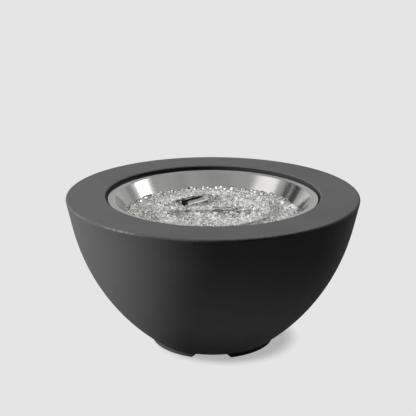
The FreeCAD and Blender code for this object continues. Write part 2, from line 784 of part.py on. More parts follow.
def make_igniter():
    """The battery igniter: its housing, the threaded cap that holds the button, and the cell."""
    tail = "(plate_thickness - housing_length)"
    front = "(plate_thickness + 3)"
    chamber = f"({tail} + 4)"
    housing = turned("igniter_housing", [
        ("0", tail),
        ("housing_radius", tail),
        ("housing_radius", "plate_thickness"),
        ("housing_flange", "plate_thickness"),
        ("housing_flange", front),
        ("cap_thread_radius + slip_gap", front),
        ("cap_thread_radius + slip_gap", f"{front} - cap_thread_length - 1"),
        ("battery_radius + fixed_gap", f"{front} - cap_thread_length - 1"),
        ("battery_radius + fixed_gap", chamber),
        ("0", chamber),
    ], igniter_frame)
    for side in (-1, 1):
        blade = sketch_on(housing, "blade_left" if side < 0 else "blade_right", "XY_Plane", shift=tail)
        x = f"{side} * blade_offset"
        draw_outline(blade, [
            (f"{x} - 0.4", "-2.4"),
            (f"{x} + 0.4", "-2.4"),
            (f"{x} + 0.4", "2.4"),
            (f"{x} - 0.4", "2.4"),
        ])
        pad(housing, blade, "blade_length", reverse=True)
    turned("igniter_nut", [
        ("housing_radius + running_gap", "-5"),
        ("housing_radius + 5", "-5"),
        ("housing_radius + 5", "0"),
        ("housing_radius + running_gap", "0"),
    ], igniter_frame)

    cap_top = f"({front} + fixed_gap + cap_height)"
    cap_tail = f"({front} + fixed_gap - cap_thread_length)"
    shoulder = f"({cap_tail} + 4)"
    cap = new_body("igniter_cap")
    spin(cap, "cap_form", [
        ("button_radius / 2 + slip_gap", cap_tail),
        ("cap_thread_radius", cap_tail),
        ("cap_thread_radius", f"{front} + fixed_gap"),
        ("cap_radius", f"{front} + fixed_gap"),
        ("cap_radius", f"{cap_top} - 1"),
        ("cap_radius - 1", cap_top),
        ("button_radius + slip_gap", cap_top),
        ("button_radius + slip_gap", shoulder),
        ("button_radius / 2 + slip_gap", shoulder),
    ])
    grip = sketch_on(cap, "cap_grip", "XY_Plane", shift=cap_top)
    draw_circles(grip, [("cap_radius + 0.8", "0", "1.8")])
    cut = pocket(cap, grip, "cap_height - 1")
    around(cap, cut, "8")
    cap.Placement = igniter_frame

    head_base = f"({cap_top} + button_stand - 7)"
    turned("igniter_button", [
        ("0", f"{cap_tail} + button_travel + slip_gap"),
        ("button_radius / 2", f"{cap_tail} + button_travel + slip_gap"),
        ("button_radius / 2", head_base),
        ("button_radius", head_base),
        ("button_radius", f"{cap_top} + button_stand - 0.8"),
        ("button_radius - 0.8", f"{cap_top} + button_stand"),
        ("0", f"{cap_top} + button_stand"),
    ], igniter_frame)
    spring("button_spring", "button_radius - 1.3", shoulder, head_base, 0.7, 3, igniter_frame)
    contact_top = f"({cap_tail} - slip_gap)"
    turned("cap_contact", [
        ("0", f"{contact_top} - 0.8"),
        ("button_radius", f"{contact_top} - 0.8"),
        ("button_radius", contact_top),
        ("0", contact_top),
    ], igniter_frame)
    battery_top = f"({contact_top} - 0.8 - slip_gap)"
    turned("battery", [
        ("0", f"{battery_top} - battery_length"),
        ("battery_radius", f"{battery_top} - battery_length"),
        ("battery_radius", f"{battery_top} - 1.2"),
        ("2.7", f"{battery_top} - 1.2"),
        ("2.7", battery_top),
        ("0", battery_top),
    ], igniter_frame)
    spring("battery_spring", "battery_radius - 2", chamber, f"{battery_top} - battery_length", 0.7, 2,
           igniter_frame)


def make_pan():
    """The drop-in pan: a flange on the bowl's ledge and a coned wall down to a flat floor."""
    body = new_body("burner_pan")
    sheet_run = "(pan_sheet / cos(pan_wall_angle))"
    inner_floor_r = f"(pan_mouth_radius - ({FLANGE_TOP} - {PAN_Z}) * {PAN_SLOPE})"
    outer_floor_r = f"({inner_floor_r} - pan_sheet * {PAN_SLOPE} + {sheet_run})"
    outer_mouth_r = f"(pan_mouth_radius - pan_sheet * {PAN_SLOPE} + {sheet_run})"
    flange_r = "(opening_radius - flange_clearance)"
    spin(body, "pressed_pan", [
        ("nipple_radius + slip_gap", f"{PAN_Z} - pan_sheet"),
        (outer_floor_r, f"{PAN_Z} - pan_sheet"),
        (f"{outer_mouth_r} - pan_bend * {PAN_SLOPE}", f"{LEDGE_Z} - pan_bend"),
        (f"{outer_mouth_r} + pan_bend", LEDGE_Z),
        (flange_r, LEDGE_Z),
        (flange_r, FLANGE_TOP),
        ("pan_mouth_radius + pan_bend", FLANGE_TOP),
        (f"pan_mouth_radius - pan_bend * {PAN_SLOPE}", f"{FLANGE_TOP} - pan_bend"),
        (inner_floor_r, PAN_Z),
        ("nipple_radius + slip_gap", PAN_Z),
    ])
    drain = sketch_on(body, "drain", "XY_Plane", shift=PAN_Z)
    draw_circles(drain, [
        ("pan_drain_circle * cos(45)", "pan_drain_circle * sin(45)", "pan_drain_radius"),
    ])
    cut = pocket(body, drain, "pan_sheet * 4", midplane=True)
    around(body, cut, "4")
    probes = sketch_on(body, "probe_holes", "XY_Plane", frame=hood_frame)
    draw_circles(probes, [
        ("-hood_leg_offset / 2", "0", "ceramic_radius + slip_gap"),
        ("hood_leg_offset / 2", "0", "probe_radius + slip_gap"),
    ])
    pocket(body, probes, "pan_sheet * 4", midplane=True)


hood_frame = frame_at(V(value("hood_x"), value("hood_y"), value(PAN_Z)),
                      FreeCAD.Rotation(V(0, 0, 1), value("hood_turn")))


def make_burner():
    """The ported ring and crossbar, the hub with its nipple, and the four stands."""
    half = "tube_width / 2"
    ring = new_body("burner_ring")
    spin(ring, "ring_tube", chamfered_ring(half))
    cavity = sketch_on(ring, "cavity", "XZ_Plane")
    draw_outline(cavity, [
        (f"ring_radius - {half} + tube_sheet", f"{BAR_BASE} + tube_sheet"),
        (f"ring_radius + {half} - tube_sheet", f"{BAR_BASE} + tube_sheet"),
        (f"ring_radius + {half} - tube_sheet", f"{BAR_TOP} - tube_sheet"),
        (f"ring_radius - {half} + tube_sheet", f"{BAR_TOP} - tube_sheet"),
    ])
    before = ring.Shape.Volume
    hollow = ring.newObject("PartDesign::Groove", "ring_hollow")
    hollow.Profile = cavity
    hollow.ReferenceAxis = (cavity, ["V_Axis"])
    hollow.Angle = 360
    doc.recompute()
    if ring.Shape.Volume > before * 0.9:
        raise RuntimeError("the burner ring is not hollow")
    port = sketch_on(ring, "port", "XY_Plane", shift=BAR_TOP)
    draw_circles(port, [("ring_radius * cos(15)", "ring_radius * sin(15)", "port_radius")])
    cut = pocket(ring, port, "tube_sheet * 2")
    around(ring, cut, "ring_port_count")

    bar = new_body("burner_crossbar")
    run = f"(ring_radius - {half} - 3 * slip_gap)"
    section = sketch_on(bar, "bar_section", "YZ_Plane")
    draw_outline(section, chamfered_box(half))
    pad(bar, section, f"2 * {run}", midplane=True)
    bore = sketch_on(bar, "bar_cavity", "YZ_Plane")
    draw_outline(bore, [
        (f"-{half} + tube_sheet", f"{BAR_BASE} + tube_sheet"),
        (f"{half} - tube_sheet", f"{BAR_BASE} + tube_sheet"),
        (f"{half} - tube_sheet", f"{BAR_TOP} - tube_sheet"),
        (f"-{half} + tube_sheet", f"{BAR_TOP} - tube_sheet"),
    ])
    pocket(bar, bore, f"4 * {run}", midplane=True)
    ports = sketch_on(bar, "bar_ports", "XY_Plane", shift=BAR_TOP)
    draw_circles(ports, [(f"{side * (i + 0.5)} * bar_port_pitch", "0", "port_radius")
                         for side in (-1, 1) for i in range(1, 4)])
    pocket(bar, ports, "tube_sheet * 2")
    feed = sketch_on(bar, "feed", "XY_Plane", shift=BAR_BASE)
    draw_circles(feed, [("0", "0", "nipple_bore")])
    pocket(bar, feed, "tube_sheet * 4", midplane=True)

    # the hub is welded under the bar, and its threaded nipple goes down through the pan
    turned("burner_hub", [
        ("nipple_bore", f"{PAN_Z} - nipple_below"),
        ("nipple_radius", f"{PAN_Z} - nipple_below"),
        ("nipple_radius", f"{PAN_Z} + hub_washer_sheet"),
        ("hub_radius", f"{PAN_Z} + hub_washer_sheet"),
        ("hub_radius", BAR_BASE),
        ("nipple_bore", BAR_BASE),
    ])
    turned("hub_washer", [
        ("nipple_radius + slip_gap", PAN_Z),
        ("hub_washer_radius", PAN_Z),
        ("hub_washer_radius", f"{PAN_Z} + hub_washer_sheet"),
        ("nipple_radius + slip_gap", f"{PAN_Z} + hub_washer_sheet"),
    ])
    make_nut("jam_nut", "jam_nut_across", "jam_nut_height", "nipple_radius + slip_gap / 2",
             frame_at(V(0, 0, value(f"{PAN_Z} - pan_sheet - jam_nut_height"))))

    # four folded stands carry the ring off the pan
    stands = []
    sheet_side = value("stand_sheet")
    width = value("stand_width")
    reach = value("tube_width") - sheet_side
    height = value(f"{BAR_BASE} - {PAN_Z}")
    for i in range(4):
        plate = Part.makeBox(sheet_side, width, height, V(-sheet_side / 2, -width / 2, 0))
        foot = Part.makeBox(reach, width, sheet_side, V(-reach / 2, -width / 2, 0))
        saddle = Part.makeBox(reach, width, sheet_side, V(-reach / 2, -width / 2, height - sheet_side))
        stand = plate.fuse([foot, saddle]).removeSplitter()
        turn = FreeCAD.Rotation(V(0, 0, 1), 45 + 90 * i)
        spot = frame_at(V(0, 0, value(PAN_Z)), turn)
        stand.Placement = spot.multiply(frame_at(V(value("ring_radius"), 0, 0)))
        stands.append(stand)
    plain_piece("burner_stands", Part.makeCompound(stands))


def chamfered_box(half):
    """The section of the burner's tube, as (across, height) corners about its own middle."""
    e = "tube_edge"
    return [
        (f"-{half} + {e}", BAR_BASE),
        (f"{half} - {e}", BAR_BASE),
        (f"{half}", f"{BAR_BASE} + {e}"),
        (f"{half}", f"{BAR_TOP} - {e}"),
        (f"{half} - {e}", BAR_TOP),
        (f"-{half} + {e}", BAR_TOP),
        (f"-{half}", f"{BAR_TOP} - {e}"),
        (f"-{half}", f"{BAR_BASE} + {e}"),
    ]


def chamfered_ring(half):
    return [(f"ring_radius + {x}", z) for x, z in chamfered_box(half)]


def make_mixer():
    """The air mixer under the pan, the shutter sleeve round it, and the gas orifice."""
    mixer = new_body("air_mixer")
    wall = "mixer_radius - mixer_wall"
    collar = "(nipple_radius + slip_gap / 2)"
    spin(mixer, "mixer_tube", [
        ("mixer_inlet_radius", MIXER_BASE),
        ("mixer_radius", MIXER_BASE),
        ("mixer_radius", f"{MIXER_TOP} + mixer_collar"),
        (collar, f"{MIXER_TOP} + mixer_collar"),
        (collar, MIXER_TOP),
        (wall, MIXER_TOP),
        (wall, f"{MIXER_BASE} + mixer_inlet_depth"),
        ("mixer_inlet_radius", f"{MIXER_BASE} + mixer_inlet_depth"),
    ])
    window = sketch_on(mixer, "air_window", "XZ_Plane")
    draw_outline(window, window_corners())
    pocket(mixer, window, "mixer_radius * 4", midplane=True)

    shutter = new_body("air_shutter")
    inner = "(mixer_radius + slip_gap)"
    outer = f"({inner} + shutter_sheet)"
    low = f"({MIXER_BASE} + 8)"
    high = f"({low} + shutter_length)"
    spin(shutter, "shutter_sleeve", [(inner, low), (outer, low), (outer, high), (inner, high)])
    opening = sketch_on(shutter, "shutter_window", "XZ_Plane")
    draw_outline(opening, window_corners())
    pocket(shutter, opening, "mixer_radius * 4", midplane=True)
    tab = sketch_on(shutter, "shutter_tab", "XY_Plane", shift=f"{low} + shutter_length / 2 - 3")
    draw_outline(tab, [
        (f"{outer} - 1", "-4"),
        (f"{outer} + 7", "-4"),
        (f"{outer} + 7", "4"),
        (f"{outer} - 1", "4"),
    ])
    pad(shutter, tab, "1.5")

    turn_down = FreeCAD.Rotation(V(1, 0, 0), 180)
    make_fitting("gas_orifice", "orifice_hex", "orifice_hex_length", "flare_radius", "orifice_spigot",
                 "orifice_bore", frame_at(V(0, 0, value(MIXER_BASE)), turn_down))


def window_corners():
    """The outline of the air windows, the same in the mixer and in its shutter."""
    low = f"({MIXER_BASE} + 12)"
    high = f"({low} + air_window_height)"
    half = "air_window_width / 2"
    return [(f"-{half}", low), (half, low), (half, high), (f"-{half}", high)]


HOOD_TOP = "(pan_depth - hood_drop)"
HOOD_WALL_BASE = f"({HOOD_TOP} - hood_height)"


def make_pilot():
    """The folded hood over the spark tip and the flame sensor, with its legs and wind shield."""
    body = new_body("pilot_hood")
    half = "hood_width / 2"
    inside = f"({half} - hood_sheet)"
    bend = "(hood_bend * 1.2)"
    section = sketch_on(body, "hood_section", "YZ_Plane")
    draw_outline(section, [
        (f"-{half}", HOOD_WALL_BASE),
        (f"-{half}", f"{HOOD_TOP} - hood_bend"),
        (f"-{half} + hood_bend", HOOD_TOP),
        ("-hood_groove_half", HOOD_TOP),
        ("0", f"{HOOD_TOP} - hood_groove_depth"),
        ("hood_groove_half", HOOD_TOP),
        (f"{half} - hood_bend", HOOD_TOP),
        (half, f"{HOOD_TOP} - hood_bend"),
        (half, HOOD_WALL_BASE),
        (inside, HOOD_WALL_BASE),
        (inside, f"{HOOD_TOP} - {bend}"),
        (f"{half} - {bend}", f"{HOOD_TOP} - hood_sheet"),
        ("hood_groove_half + 0.5", f"{HOOD_TOP} - hood_sheet"),
        ("0", f"{HOOD_TOP} - hood_groove_depth - hood_sheet"),
        ("-hood_groove_half - 0.5", f"{HOOD_TOP} - hood_sheet"),
        (f"-{half} + {bend}", f"{HOOD_TOP} - hood_sheet"),
        (f"-{inside}", f"{HOOD_TOP} - {bend}"),
        (f"-{inside}", HOOD_WALL_BASE),
    ])
    pad(body, section, "hood_length", midplane=True)
    vents = sketch_on(body, "flame_vents", "XZ_Plane")
    for side in (-1, 1):
        draw_rectangle(vents, f"({side} * hood_length / 4)", f"({HOOD_TOP} - hood_vent_drop)",
                       "hood_length / 6", "hood_vent_height / 2")
    pocket(body, vents, "hood_width", reverse=True)
    legs = sketch_on(body, "legs", "XZ_Plane")
    for side in (-1, 1):
        draw_rectangle(legs, f"({side} * hood_leg_offset)", f"({HOOD_WALL_BASE} + 2) / 2",
                       "hood_leg_width / 2", f"({HOOD_WALL_BASE} + 2) / 2")
    legs.AttachmentOffset = frame_at(V(0, 0, -value(half)))
    bind(legs, "AttachmentOffset.Base.z", f"-{half}")
    pad(body, legs, "hood_sheet")
    feet = sketch_on(body, "feet", "XY_Plane")
    for side in (-1, 1):
        draw_rectangle(feet, f"({side} * hood_leg_offset)", f"{half} + hood_foot / 2 - hood_sheet",
                       "hood_leg_width / 2", "hood_foot / 2")
    pad(body, feet, "hood_sheet")
    body.Placement = hood_frame

    # a blackened strip, spot-welded to the hood's rear wall, stands up behind its top
    shield = new_body("pilot_shield")
    strip = sketch_on(shield, "strip", "XZ_Plane")
    draw_rectangle(strip, "shield_shift", f"{HOOD_TOP} + (shield_rise - shield_overlap) / 2",
                   "shield_length / 2", "(shield_rise + shield_overlap) / 2")
    strip.AttachmentOffset = frame_at(V(0, 0, -value(half)))
    bind(strip, "AttachmentOffset.Base.z", f"-{half}")
    pad(shield, strip, "hood_sheet", reverse=True)
    shield.Placement = hood_frame

    screws = []
    for side in (-1, 1):
        x = side * value("hood_leg_offset")
        y = value(f"{half} + hood_foot / 2")
        screws.append(Part.makeCylinder(value("pilot_screw_radius"), value("pilot_screw_height"),
                                        V(x, y, value("hood_sheet"))))
    plain_piece("pilot_screws", Part.makeCompound(screws), hood_frame)

    electrode_place = hood_frame.multiply(frame_at(V(-value("hood_leg_offset") / 2, 0, 0)))
    turned("spark_ceramic", [
        ("0", "-probe_below"),
        ("ceramic_radius", "-probe_below"),
        ("ceramic_radius", f"{HOOD_WALL_BASE} + ceramic_above"),
        ("0", f"{HOOD_WALL_BASE} + ceramic_above"),
    ], electrode_place)
    turned("spark_wire", [
        ("0", f"{HOOD_WALL_BASE} + ceramic_above"),
        ("spark_wire_radius", f"{HOOD_WALL_BASE} + ceramic_above"),
        ("spark_wire_radius", f"{HOOD_WALL_BASE} + ceramic_above + spark_wire_length"),
        ("0", f"{HOOD_WALL_BASE} + ceramic_above + spark_wire_length"),
    ], electrode_place)
    sensor_place = hood_frame.multiply(frame_at(V(value("hood_leg_offset") / 2, 0, 0)))
    turned("flame_sensor", [
        ("0", "-probe_below"),
        ("probe_radius", "-probe_below"),
        ("probe_radius", f"{HOOD_WALL_BASE} + sensor_above"),
        ("probe_radius / 2", f"{HOOD_WALL_BASE} + sensor_above + probe_radius"),
        ("0", f"{HOOD_WALL_BASE} + sensor_above + probe_radius"),
    ], sensor_place)


def draw_rectangle(sketch, x, y, half_x, half_y):
    """One more rectangle in a sketch, about (x, y)."""
    first = sketch.GeometryCount
    corners = [(f"{x} + {sx} * ({half_x})", f"{y} + {sy} * ({half_y})")
               for sx, sy in ((-1, -1), (1, -1), (1, 1), (-1, 1))]
    points = [V(value(a), value(b), 0) for a, b in corners]
    for i in range(4):
        sketch.addGeometry(Part.LineSegment(points[i], points[(i + 1) % 4]))
    for i in range(4):
        sketch.addConstraint(Sketcher.Constraint("Coincident", first + i, 2, first + (i + 1) % 4, 1))
        pin_point(sketch, first + i, 1, corners[i][0], corners[i][1])


def make_glass():
    """The bed of glass as one solid, cut to clear the burner, under a layer of loose gems."""
    clear = value("glass_clearance")
    floor_z = value(PAN_Z) + clear
    edge_z = value("total_height - glass_edge_drop")
    crown_z = edge_z + value("glass_crown")
    slope = math.tan(math.radians(value("pan_wall_angle")))
    wall_r = value("pan_mouth_radius") - clear / math.cos(math.radians(value("pan_wall_angle")))
    top = value(FLANGE_TOP)
    floor_r = wall_r - (top - floor_z) * slope
    edge_r = wall_r - (top - edge_z) * slope
    flat_r = value("glass_flat_radius")
    outline = Part.Wire([
        Part.makeLine(V(0, 0, floor_z), V(floor_r, 0, floor_z)),
        Part.makeLine(V(floor_r, 0, floor_z), V(edge_r, 0, edge_z)),
        Part.makeLine(V(edge_r, 0, edge_z), V(flat_r, 0, crown_z)),
        Part.makeLine(V(flat_r, 0, crown_z), V(0, 0, crown_z)),
        Part.makeLine(V(0, 0, crown_z), V(0, 0, floor_z)),
    ])
    bed = Part.Face(outline).revolve(V(0, 0, 0), V(0, 0, 1), 360)

    half = value("tube_width") / 2 + clear
    height = 3 * value("tube_height")
    low = value(BAR_BASE) - clear
    ring_r = value("ring_radius")
    channel = Part.makeCylinder(ring_r + half, height, V(0, 0, low)).cut(
        Part.makeCylinder(ring_r - half, height, V(0, 0, low)))
    bar = Part.makeBox(2 * ring_r, 2 * half, height, V(-ring_r, -half, low))
    hub = Part.makeCylinder(value("hub_washer_radius") + clear, height, V(0, 0, value(PAN_Z)))
    hood_x = value("hood_length") / 2 + clear
    hood_y = value("hood_width") / 2 + clear
    hood = Part.makeBox(2 * hood_x, 2 * hood_y + value("hood_sheet"), height * 2, V(-hood_x, -hood_y, 0))
    feet_x = value("hood_leg_offset + hood_leg_width / 2") + clear
    feet = Part.makeBox(2 * feet_x, value("hood_foot") + 2, 6, V(-feet_x, value("hood_width") / 2, 0))
    for tool in (hood, feet):
        tool.Placement = hood_frame
    stands = []
    stand_x = value("tube_width - stand_sheet") / 2 + clear
    stand_y = value("stand_width") / 2 + clear
    for i in range(4):
        stand = Part.makeBox(2 * stand_x, 2 * stand_y, height, V(ring_r - stand_x, -stand_y, value(PAN_Z)))
        stand.rotate(V(0, 0, 0), V(0, 0, 1), 45 + 90 * i)
        stands.append(stand)
    bed = bed.cut([channel, bar, hub, hood, feet] + stands)
    plain_piece("glass_bed", bed)
    plain_piece("glass_gems", Part.makeCompound(scatter_gems(edge_r, flat_r, edge_z, crown_z)))


def scatter_gems(edge_r, flat_r, edge_z, crown_z):
    """Loose eight-faced gems spread over the bed in a sunflower pattern, clear of the burner."""
    size = value("gem_size")
    count = int(value("gem_count"))
    golden = math.radians(137.508)
    keep_bar = value("tube_width") / 2 + size * 0.62
    reach = edge_r - size * 0.6
    gems = []
    for i in range(count):
        radius = reach * math.sqrt((i + 0.5) / count)
        angle = golden * i
        x = radius * math.cos(angle)
        y = radius * math.sin(angle)
        in_hood = hood_frame.inverse().multVec(V(x, y, value(PAN_Z)))
        near_hood = (abs(in_hood.x) < value("hood_length") / 2 + size * 0.6
                     and -size * 0.6 < in_hood.y + value("hood_width") / 2
                     and in_hood.y < value("hood_width / 2 + hood_foot") + size * 0.6)
        near_bar = abs(y) < keep_bar and abs(x) < value("ring_radius")
        near_ring = abs(radius - value("ring_radius")) < keep_bar
        near_hub = radius < value("hub_washer_radius") + size * 0.6
        if near_hood or near_bar or near_ring or near_hub:
            continue
        surface = edge_z + (crown_z - edge_z) * min(1, (edge_r - radius) / (edge_r - flat_r))
        wide = size * (0.46 + 0.05 * math.sin(3.1 * i))
        tall = size * (0.30 + 0.05 * math.cos(2.3 * i))
        gems.append(gem(wide, wide * 0.8, tall, V(x, y, surface + tall + 0.5), 40 * i))
    return gems


def gem(long, broad, tall, centre, turn):
    """One gem: a squashed octahedron with its points along its own axes."""
    tips = [V(long, 0, 0), V(0, broad, 0), V(-long, 0, 0), V(0, -broad, 0)]
    faces = []
    for i in range(4):
        for peak in (V(0, 0, tall), V(0, 0, -tall)):
            faces.append(Part.Face(Part.makePolygon([tips[i], tips[(i + 1) % 4], peak, tips[i]])))
    solid = Part.Solid(Part.Shell(faces))
    solid.Placement = frame_at(centre, FreeCAD.Rotation(V(0, 0, 1), turn))
    return solid


def route_tube(name, points, radius):
    """An eight-sided tube along straight runs joined by tangent arcs, each as large as its
    runs allow. Its volume is compared with its section times its length."""
    corners = [V(*p) for p in points]
    edges = []
    last = corners[0]
    smallest = 1e9
    for i in range(1, len(corners) - 1):
        before = corners[i] - corners[i - 1]
        after = corners[i + 1] - corners[i]
        turn = before.getAngle(after)
        short = min(before.Length, after.Length) * 0.45
        bend = short / math.tan(turn / 2)
        smallest = min(smallest, bend)
        start = corners[i] - before.normalize() * short
        stop = corners[i] + after.normalize() * short
        inward = (after - before).normalize()
        centre = corners[i] + inward * math.hypot(bend, short)
        middle = centre - inward * bend
        edges.append(Part.makeLine(last, start))
        edges.append(Part.Arc(start, middle, stop).toShape())
        last = stop
    edges.append(Part.makeLine(last, corners[-1]))
    path = Part.Wire(edges)
    first_run = FreeCAD.Rotation(V(0, 0, 1), corners[1] - corners[0])
    eighth = math.pi / 4
    section = [V(radius * math.cos(k * eighth), radius * math.sin(k * eighth), 0) for k in range(9)]
    ring = Part.makePolygon([corners[0] + first_run.multVec(corner) for corner in section])
    tube = path.makePipe(Part.Face(ring))
    expected = 2 * math.sqrt(2) * radius ** 2 * path.Length
    if abs(tube.Volume / expected - 1) > 0.01:
        raise RuntimeError(f"{name}: volume {tube.Volume:.0f} is not {expected:.0f}")
    print(f"{name}: {path.Length:.0f} mm long, tightest bend {smallest:.1f} mm")
    plain_piece(name, tube)


def make_lines():
    """The hose and the three leads that join the pan's burner to the controls."""
    boss_end = "-(valve_side / 2 + boss_reach)"
    outlet_place = in_valve(boss_end, "0", "-outlet_depth", side_turn)
    make_fitting("outlet_fitting", "outlet_hex", "hex_length", "flare_radius", "outlet_spigot", "gas_bore",
                 outlet_place)
    nut_place = outlet_place.multiply(frame_at(V(0, 0, value("hex_length"))))
    make_flare_nut("outlet_nut", nut_place)
    inlet_place = in_valve("0", boss_end, "-inlet_depth", down_turn)
    make_fitting("inlet_fitting", "inlet_hex", "hex_length", "inlet_thread_radius", "inlet_thread_length",
                 "gas_bore", inlet_place)
    orifice_base = value(f"{MIXER_BASE} - orifice_hex_length")
    make_flare_nut("orifice_nut", frame_at(V(0, 0, orifice_base), FreeCAD.Rotation(V(1, 0, 0), 180)))

    hose_end = nut_place.multVec(V(0, 0, value("flare_nut_length")))
    burner_end = V(0, 0, orifice_base - value("flare_nut_length"))
    route_tube("flex_hose", [
        tuple(hose_end),
        (hose_end.x + value("hose_straight"), hose_end.y, hose_end.z),
        (160, 258, 262),
        (186, 196, 214),
        (178, 122, 168),
        (132, 58, 136),
        (66, 16, 112),
        (12, -4, 122),
        (0, 0, burner_end.z - 24),
        tuple(burner_end),
    ], value("hose_radius"))

    # each lead starts square to what it leaves and ends square to what it enters
    blade_end = value("plate_thickness - housing_length - blade_length")
    probe_end = -value("probe_below")
    spark_start = igniter_frame.multVec(V(-value("blade_offset"), 0, blade_end))
    spark_end = hood_frame.multVec(V(-value("hood_leg_offset") / 2, 0, probe_end))
    route_tube("igniter_lead", lead_points(spark_start, spark_end, [(-34, 196, 268), (-58, 128, 246)]),
               value("lead_radius"))
    ground_start = igniter_frame.multVec(V(value("blade_offset"), 0, blade_end))
    ground_end = hood_frame.multVec(V(0, value("hood_width / 2 + ground_stud_offset"),
                                      value("-pan_sheet - ground_stud_height")))
    route_tube("ground_lead", lead_points(ground_start, ground_end, [(-52, 200, 262), (-70, 146, 252)]),
               value("lead_radius"))
    plain_piece("ground_stud", Part.makeCylinder(value("ground_stud_radius"), value("ground_stud_height"),
                                                 ground_end))
    magnet_end = valve_frame.multVec(V(0, 0, value("-valve_front - valve_length - magnet_length")))
    sensor_end = hood_frame.multVec(V(value("hood_leg_offset") / 2, 0, probe_end))
    route_tube("sensor_lead", lead_points(magnet_end, sensor_end, [(30, 196, 262), (2, 140, 244)]),
               value("capillary_radius"))


def lead_points(start, end, between):
    """A lead's corners: straight in from the controls, and straight up into the pan's underside."""
    first = start - outward * value("lead_straight")
    return [tuple(start), tuple(first)] + between + [(end.x, end.y, end.z - 22), tuple(end)]


def make_flare_nut(name, place):
    """A long nut over the spigot, closed down at its back to the size of the hose."""
    body = new_body(name)
    flats = sketch_on(body, name + "_flats", "XY_Plane")
    draw_outline(flats, hexagon("flare_nut_across"))
    pad(body, flats, "flare_nut_length")
    hole = sketch_on(body, name + "_bore", "XY_Plane")
    draw_circles(hole, [("0", "0", "flare_radius + slip_gap / 2")])
    pocket(body, hole, "flare_nut_depth", reverse=True)
    body.Placement = place


make_bowl_shell()
make_control_plate()
make_panel_screws()
make_valve()
make_knob()
make_igniter()
make_pan()
make_burner()
make_mixer()
make_pilot()
make_glass()
make_lines()
doc.recompute()

for thing in doc.Objects:
    for state in thing.State:
        if state in ("Invalid", "Error"):
            raise RuntimeError(f"{thing.Name} failed")
for name, thing in parts.items():
    if thing.Shape.isNull() or not thing.Shape.isValid():
        raise RuntimeError(f"{name} has no valid shape")

os.makedirs("parts", exist_ok=True)
for name, thing in parts.items():
    thing.Shape.exportStep(f"parts/{name}.step")
print(len(parts), "parts")
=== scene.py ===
import json
import math
import random

import bmesh
import bpy
from mathutils import Matrix, Vector


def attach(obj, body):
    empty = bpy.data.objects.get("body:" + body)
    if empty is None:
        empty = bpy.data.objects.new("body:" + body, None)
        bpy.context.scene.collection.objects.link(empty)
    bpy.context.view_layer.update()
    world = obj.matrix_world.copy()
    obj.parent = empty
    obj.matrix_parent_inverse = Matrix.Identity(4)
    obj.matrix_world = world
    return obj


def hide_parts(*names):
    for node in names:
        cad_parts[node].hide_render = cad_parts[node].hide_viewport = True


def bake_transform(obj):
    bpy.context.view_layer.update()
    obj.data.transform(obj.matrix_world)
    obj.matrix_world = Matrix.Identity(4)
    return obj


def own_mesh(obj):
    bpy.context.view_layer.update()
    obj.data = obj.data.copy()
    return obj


# The looks of a gas fire pit bowl: cast concrete, a spun steel pan full of tumbled glass,
# and brass, plastic and steel controls in the back wall. All lengths are in metres.

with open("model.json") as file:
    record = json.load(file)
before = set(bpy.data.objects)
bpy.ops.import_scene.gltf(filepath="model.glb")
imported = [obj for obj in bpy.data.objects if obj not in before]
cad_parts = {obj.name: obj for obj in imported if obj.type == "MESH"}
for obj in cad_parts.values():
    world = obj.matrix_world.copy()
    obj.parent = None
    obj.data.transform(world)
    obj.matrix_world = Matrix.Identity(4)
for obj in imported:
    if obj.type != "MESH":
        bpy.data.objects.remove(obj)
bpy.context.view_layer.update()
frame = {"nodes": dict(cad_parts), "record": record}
nodes = frame["nodes"]
scene = bpy.context.scene

# Sizes of the CAD model that the new pieces keep to

RIM_TOP = 0.384
FLANGE_TOP = 0.3759
FLANGE_RADIUS = 0.2659
SHEET = 0.0015
PAN_FLOOR = 0.309
PAN_MOUTH = 0.249
PAN_LEAN = math.radians(34.8)
PAN_SLOPE = math.tan(PAN_LEAN)
PAN_HOLE = 0.0107
DRAIN_CIRCLE = 0.176
DRAIN_RADIUS = 0.003
PROBE_OFFSET = 0.012
IGNITER_HOLE = 0.0036
SENSOR_HOLE = 0.0032
RING_RADIUS = 0.134
TUBE_HALF = 0.0095
TUBE_TOP = 0.341
HOOD_TURN = math.radians(44)
HOOD_SPOT = Matrix.Translation((-0.045, 0.061, 0)) @ Matrix.Rotation(HOOD_TURN, 4, "Z")
TO_HOOD = HOOD_SPOT.inverted()
HOOD_HALF_LENGTH = 0.0385
HOOD_HALF_WIDTH = 0.012
HOOD_TOP = 0.347
GLASS_EDGE_RADIUS = 0.2222
GLASS_EDGE_Z = 0.338
GLASS_CROWN = 0.004
GLASS_FLAT_RADIUS = 0.06
CONTROL_AXIS = Vector((0.0, 0.953717, -0.300706))
PANEL_LEAN = math.radians(-17.5)
VALVE_SPOT = Vector((0.032, 0.2980911, 0.2837346))
IGNITER_SPOT = Vector((-0.032, 0.3391009, 0.2708042))
KNOB_FACE = 0.0653

# How the glass lies, where the crossbar shows bare, and how many lumps are dropped

BED_DEPTH = 0.0155
EDGE_DEPTH = 0.0095
CRUST = 0.002
CRUST_FOOT = 0.3245
BAR_SHOWS_FROM = -0.002
BAR_SHOWS_TO = 0.076
GEM_DROPS = 12000
GEM_RADIUS = (0.0070, 0.0102)
CHIP_DROPS = 6000
CHIP_RADIUS = (0.0046, 0.0066)
CHIPS_ON_BAR = 0.35
HOOD_DROPS = 60
HOOD_CHIP_RADIUS = (0.0048, 0.0066)
HOOD_COVERED_FROM = 0.033
HOOD_DIP = 0.014
HOOD_DIP_WIDTH = 0.024
HEAP_OVER_BED = 0.004

# Places of the painted highlight on the rim's edge and of the painted shade at the hood's open end

# Where the painted highlight on the rim's outer edge is brightest
HIGHLIGHT_SPOT = (-0.215, -0.302, 0.382)
# Where the painted shade at the pilot hood's open end stops, along x
SHADE_UP_TO_X = -0.0655

# The studio

BOWL_MIDDLE = Vector((0, 0, 0.3))
FLOOR_LEVEL = 0.782


# Scene helpers

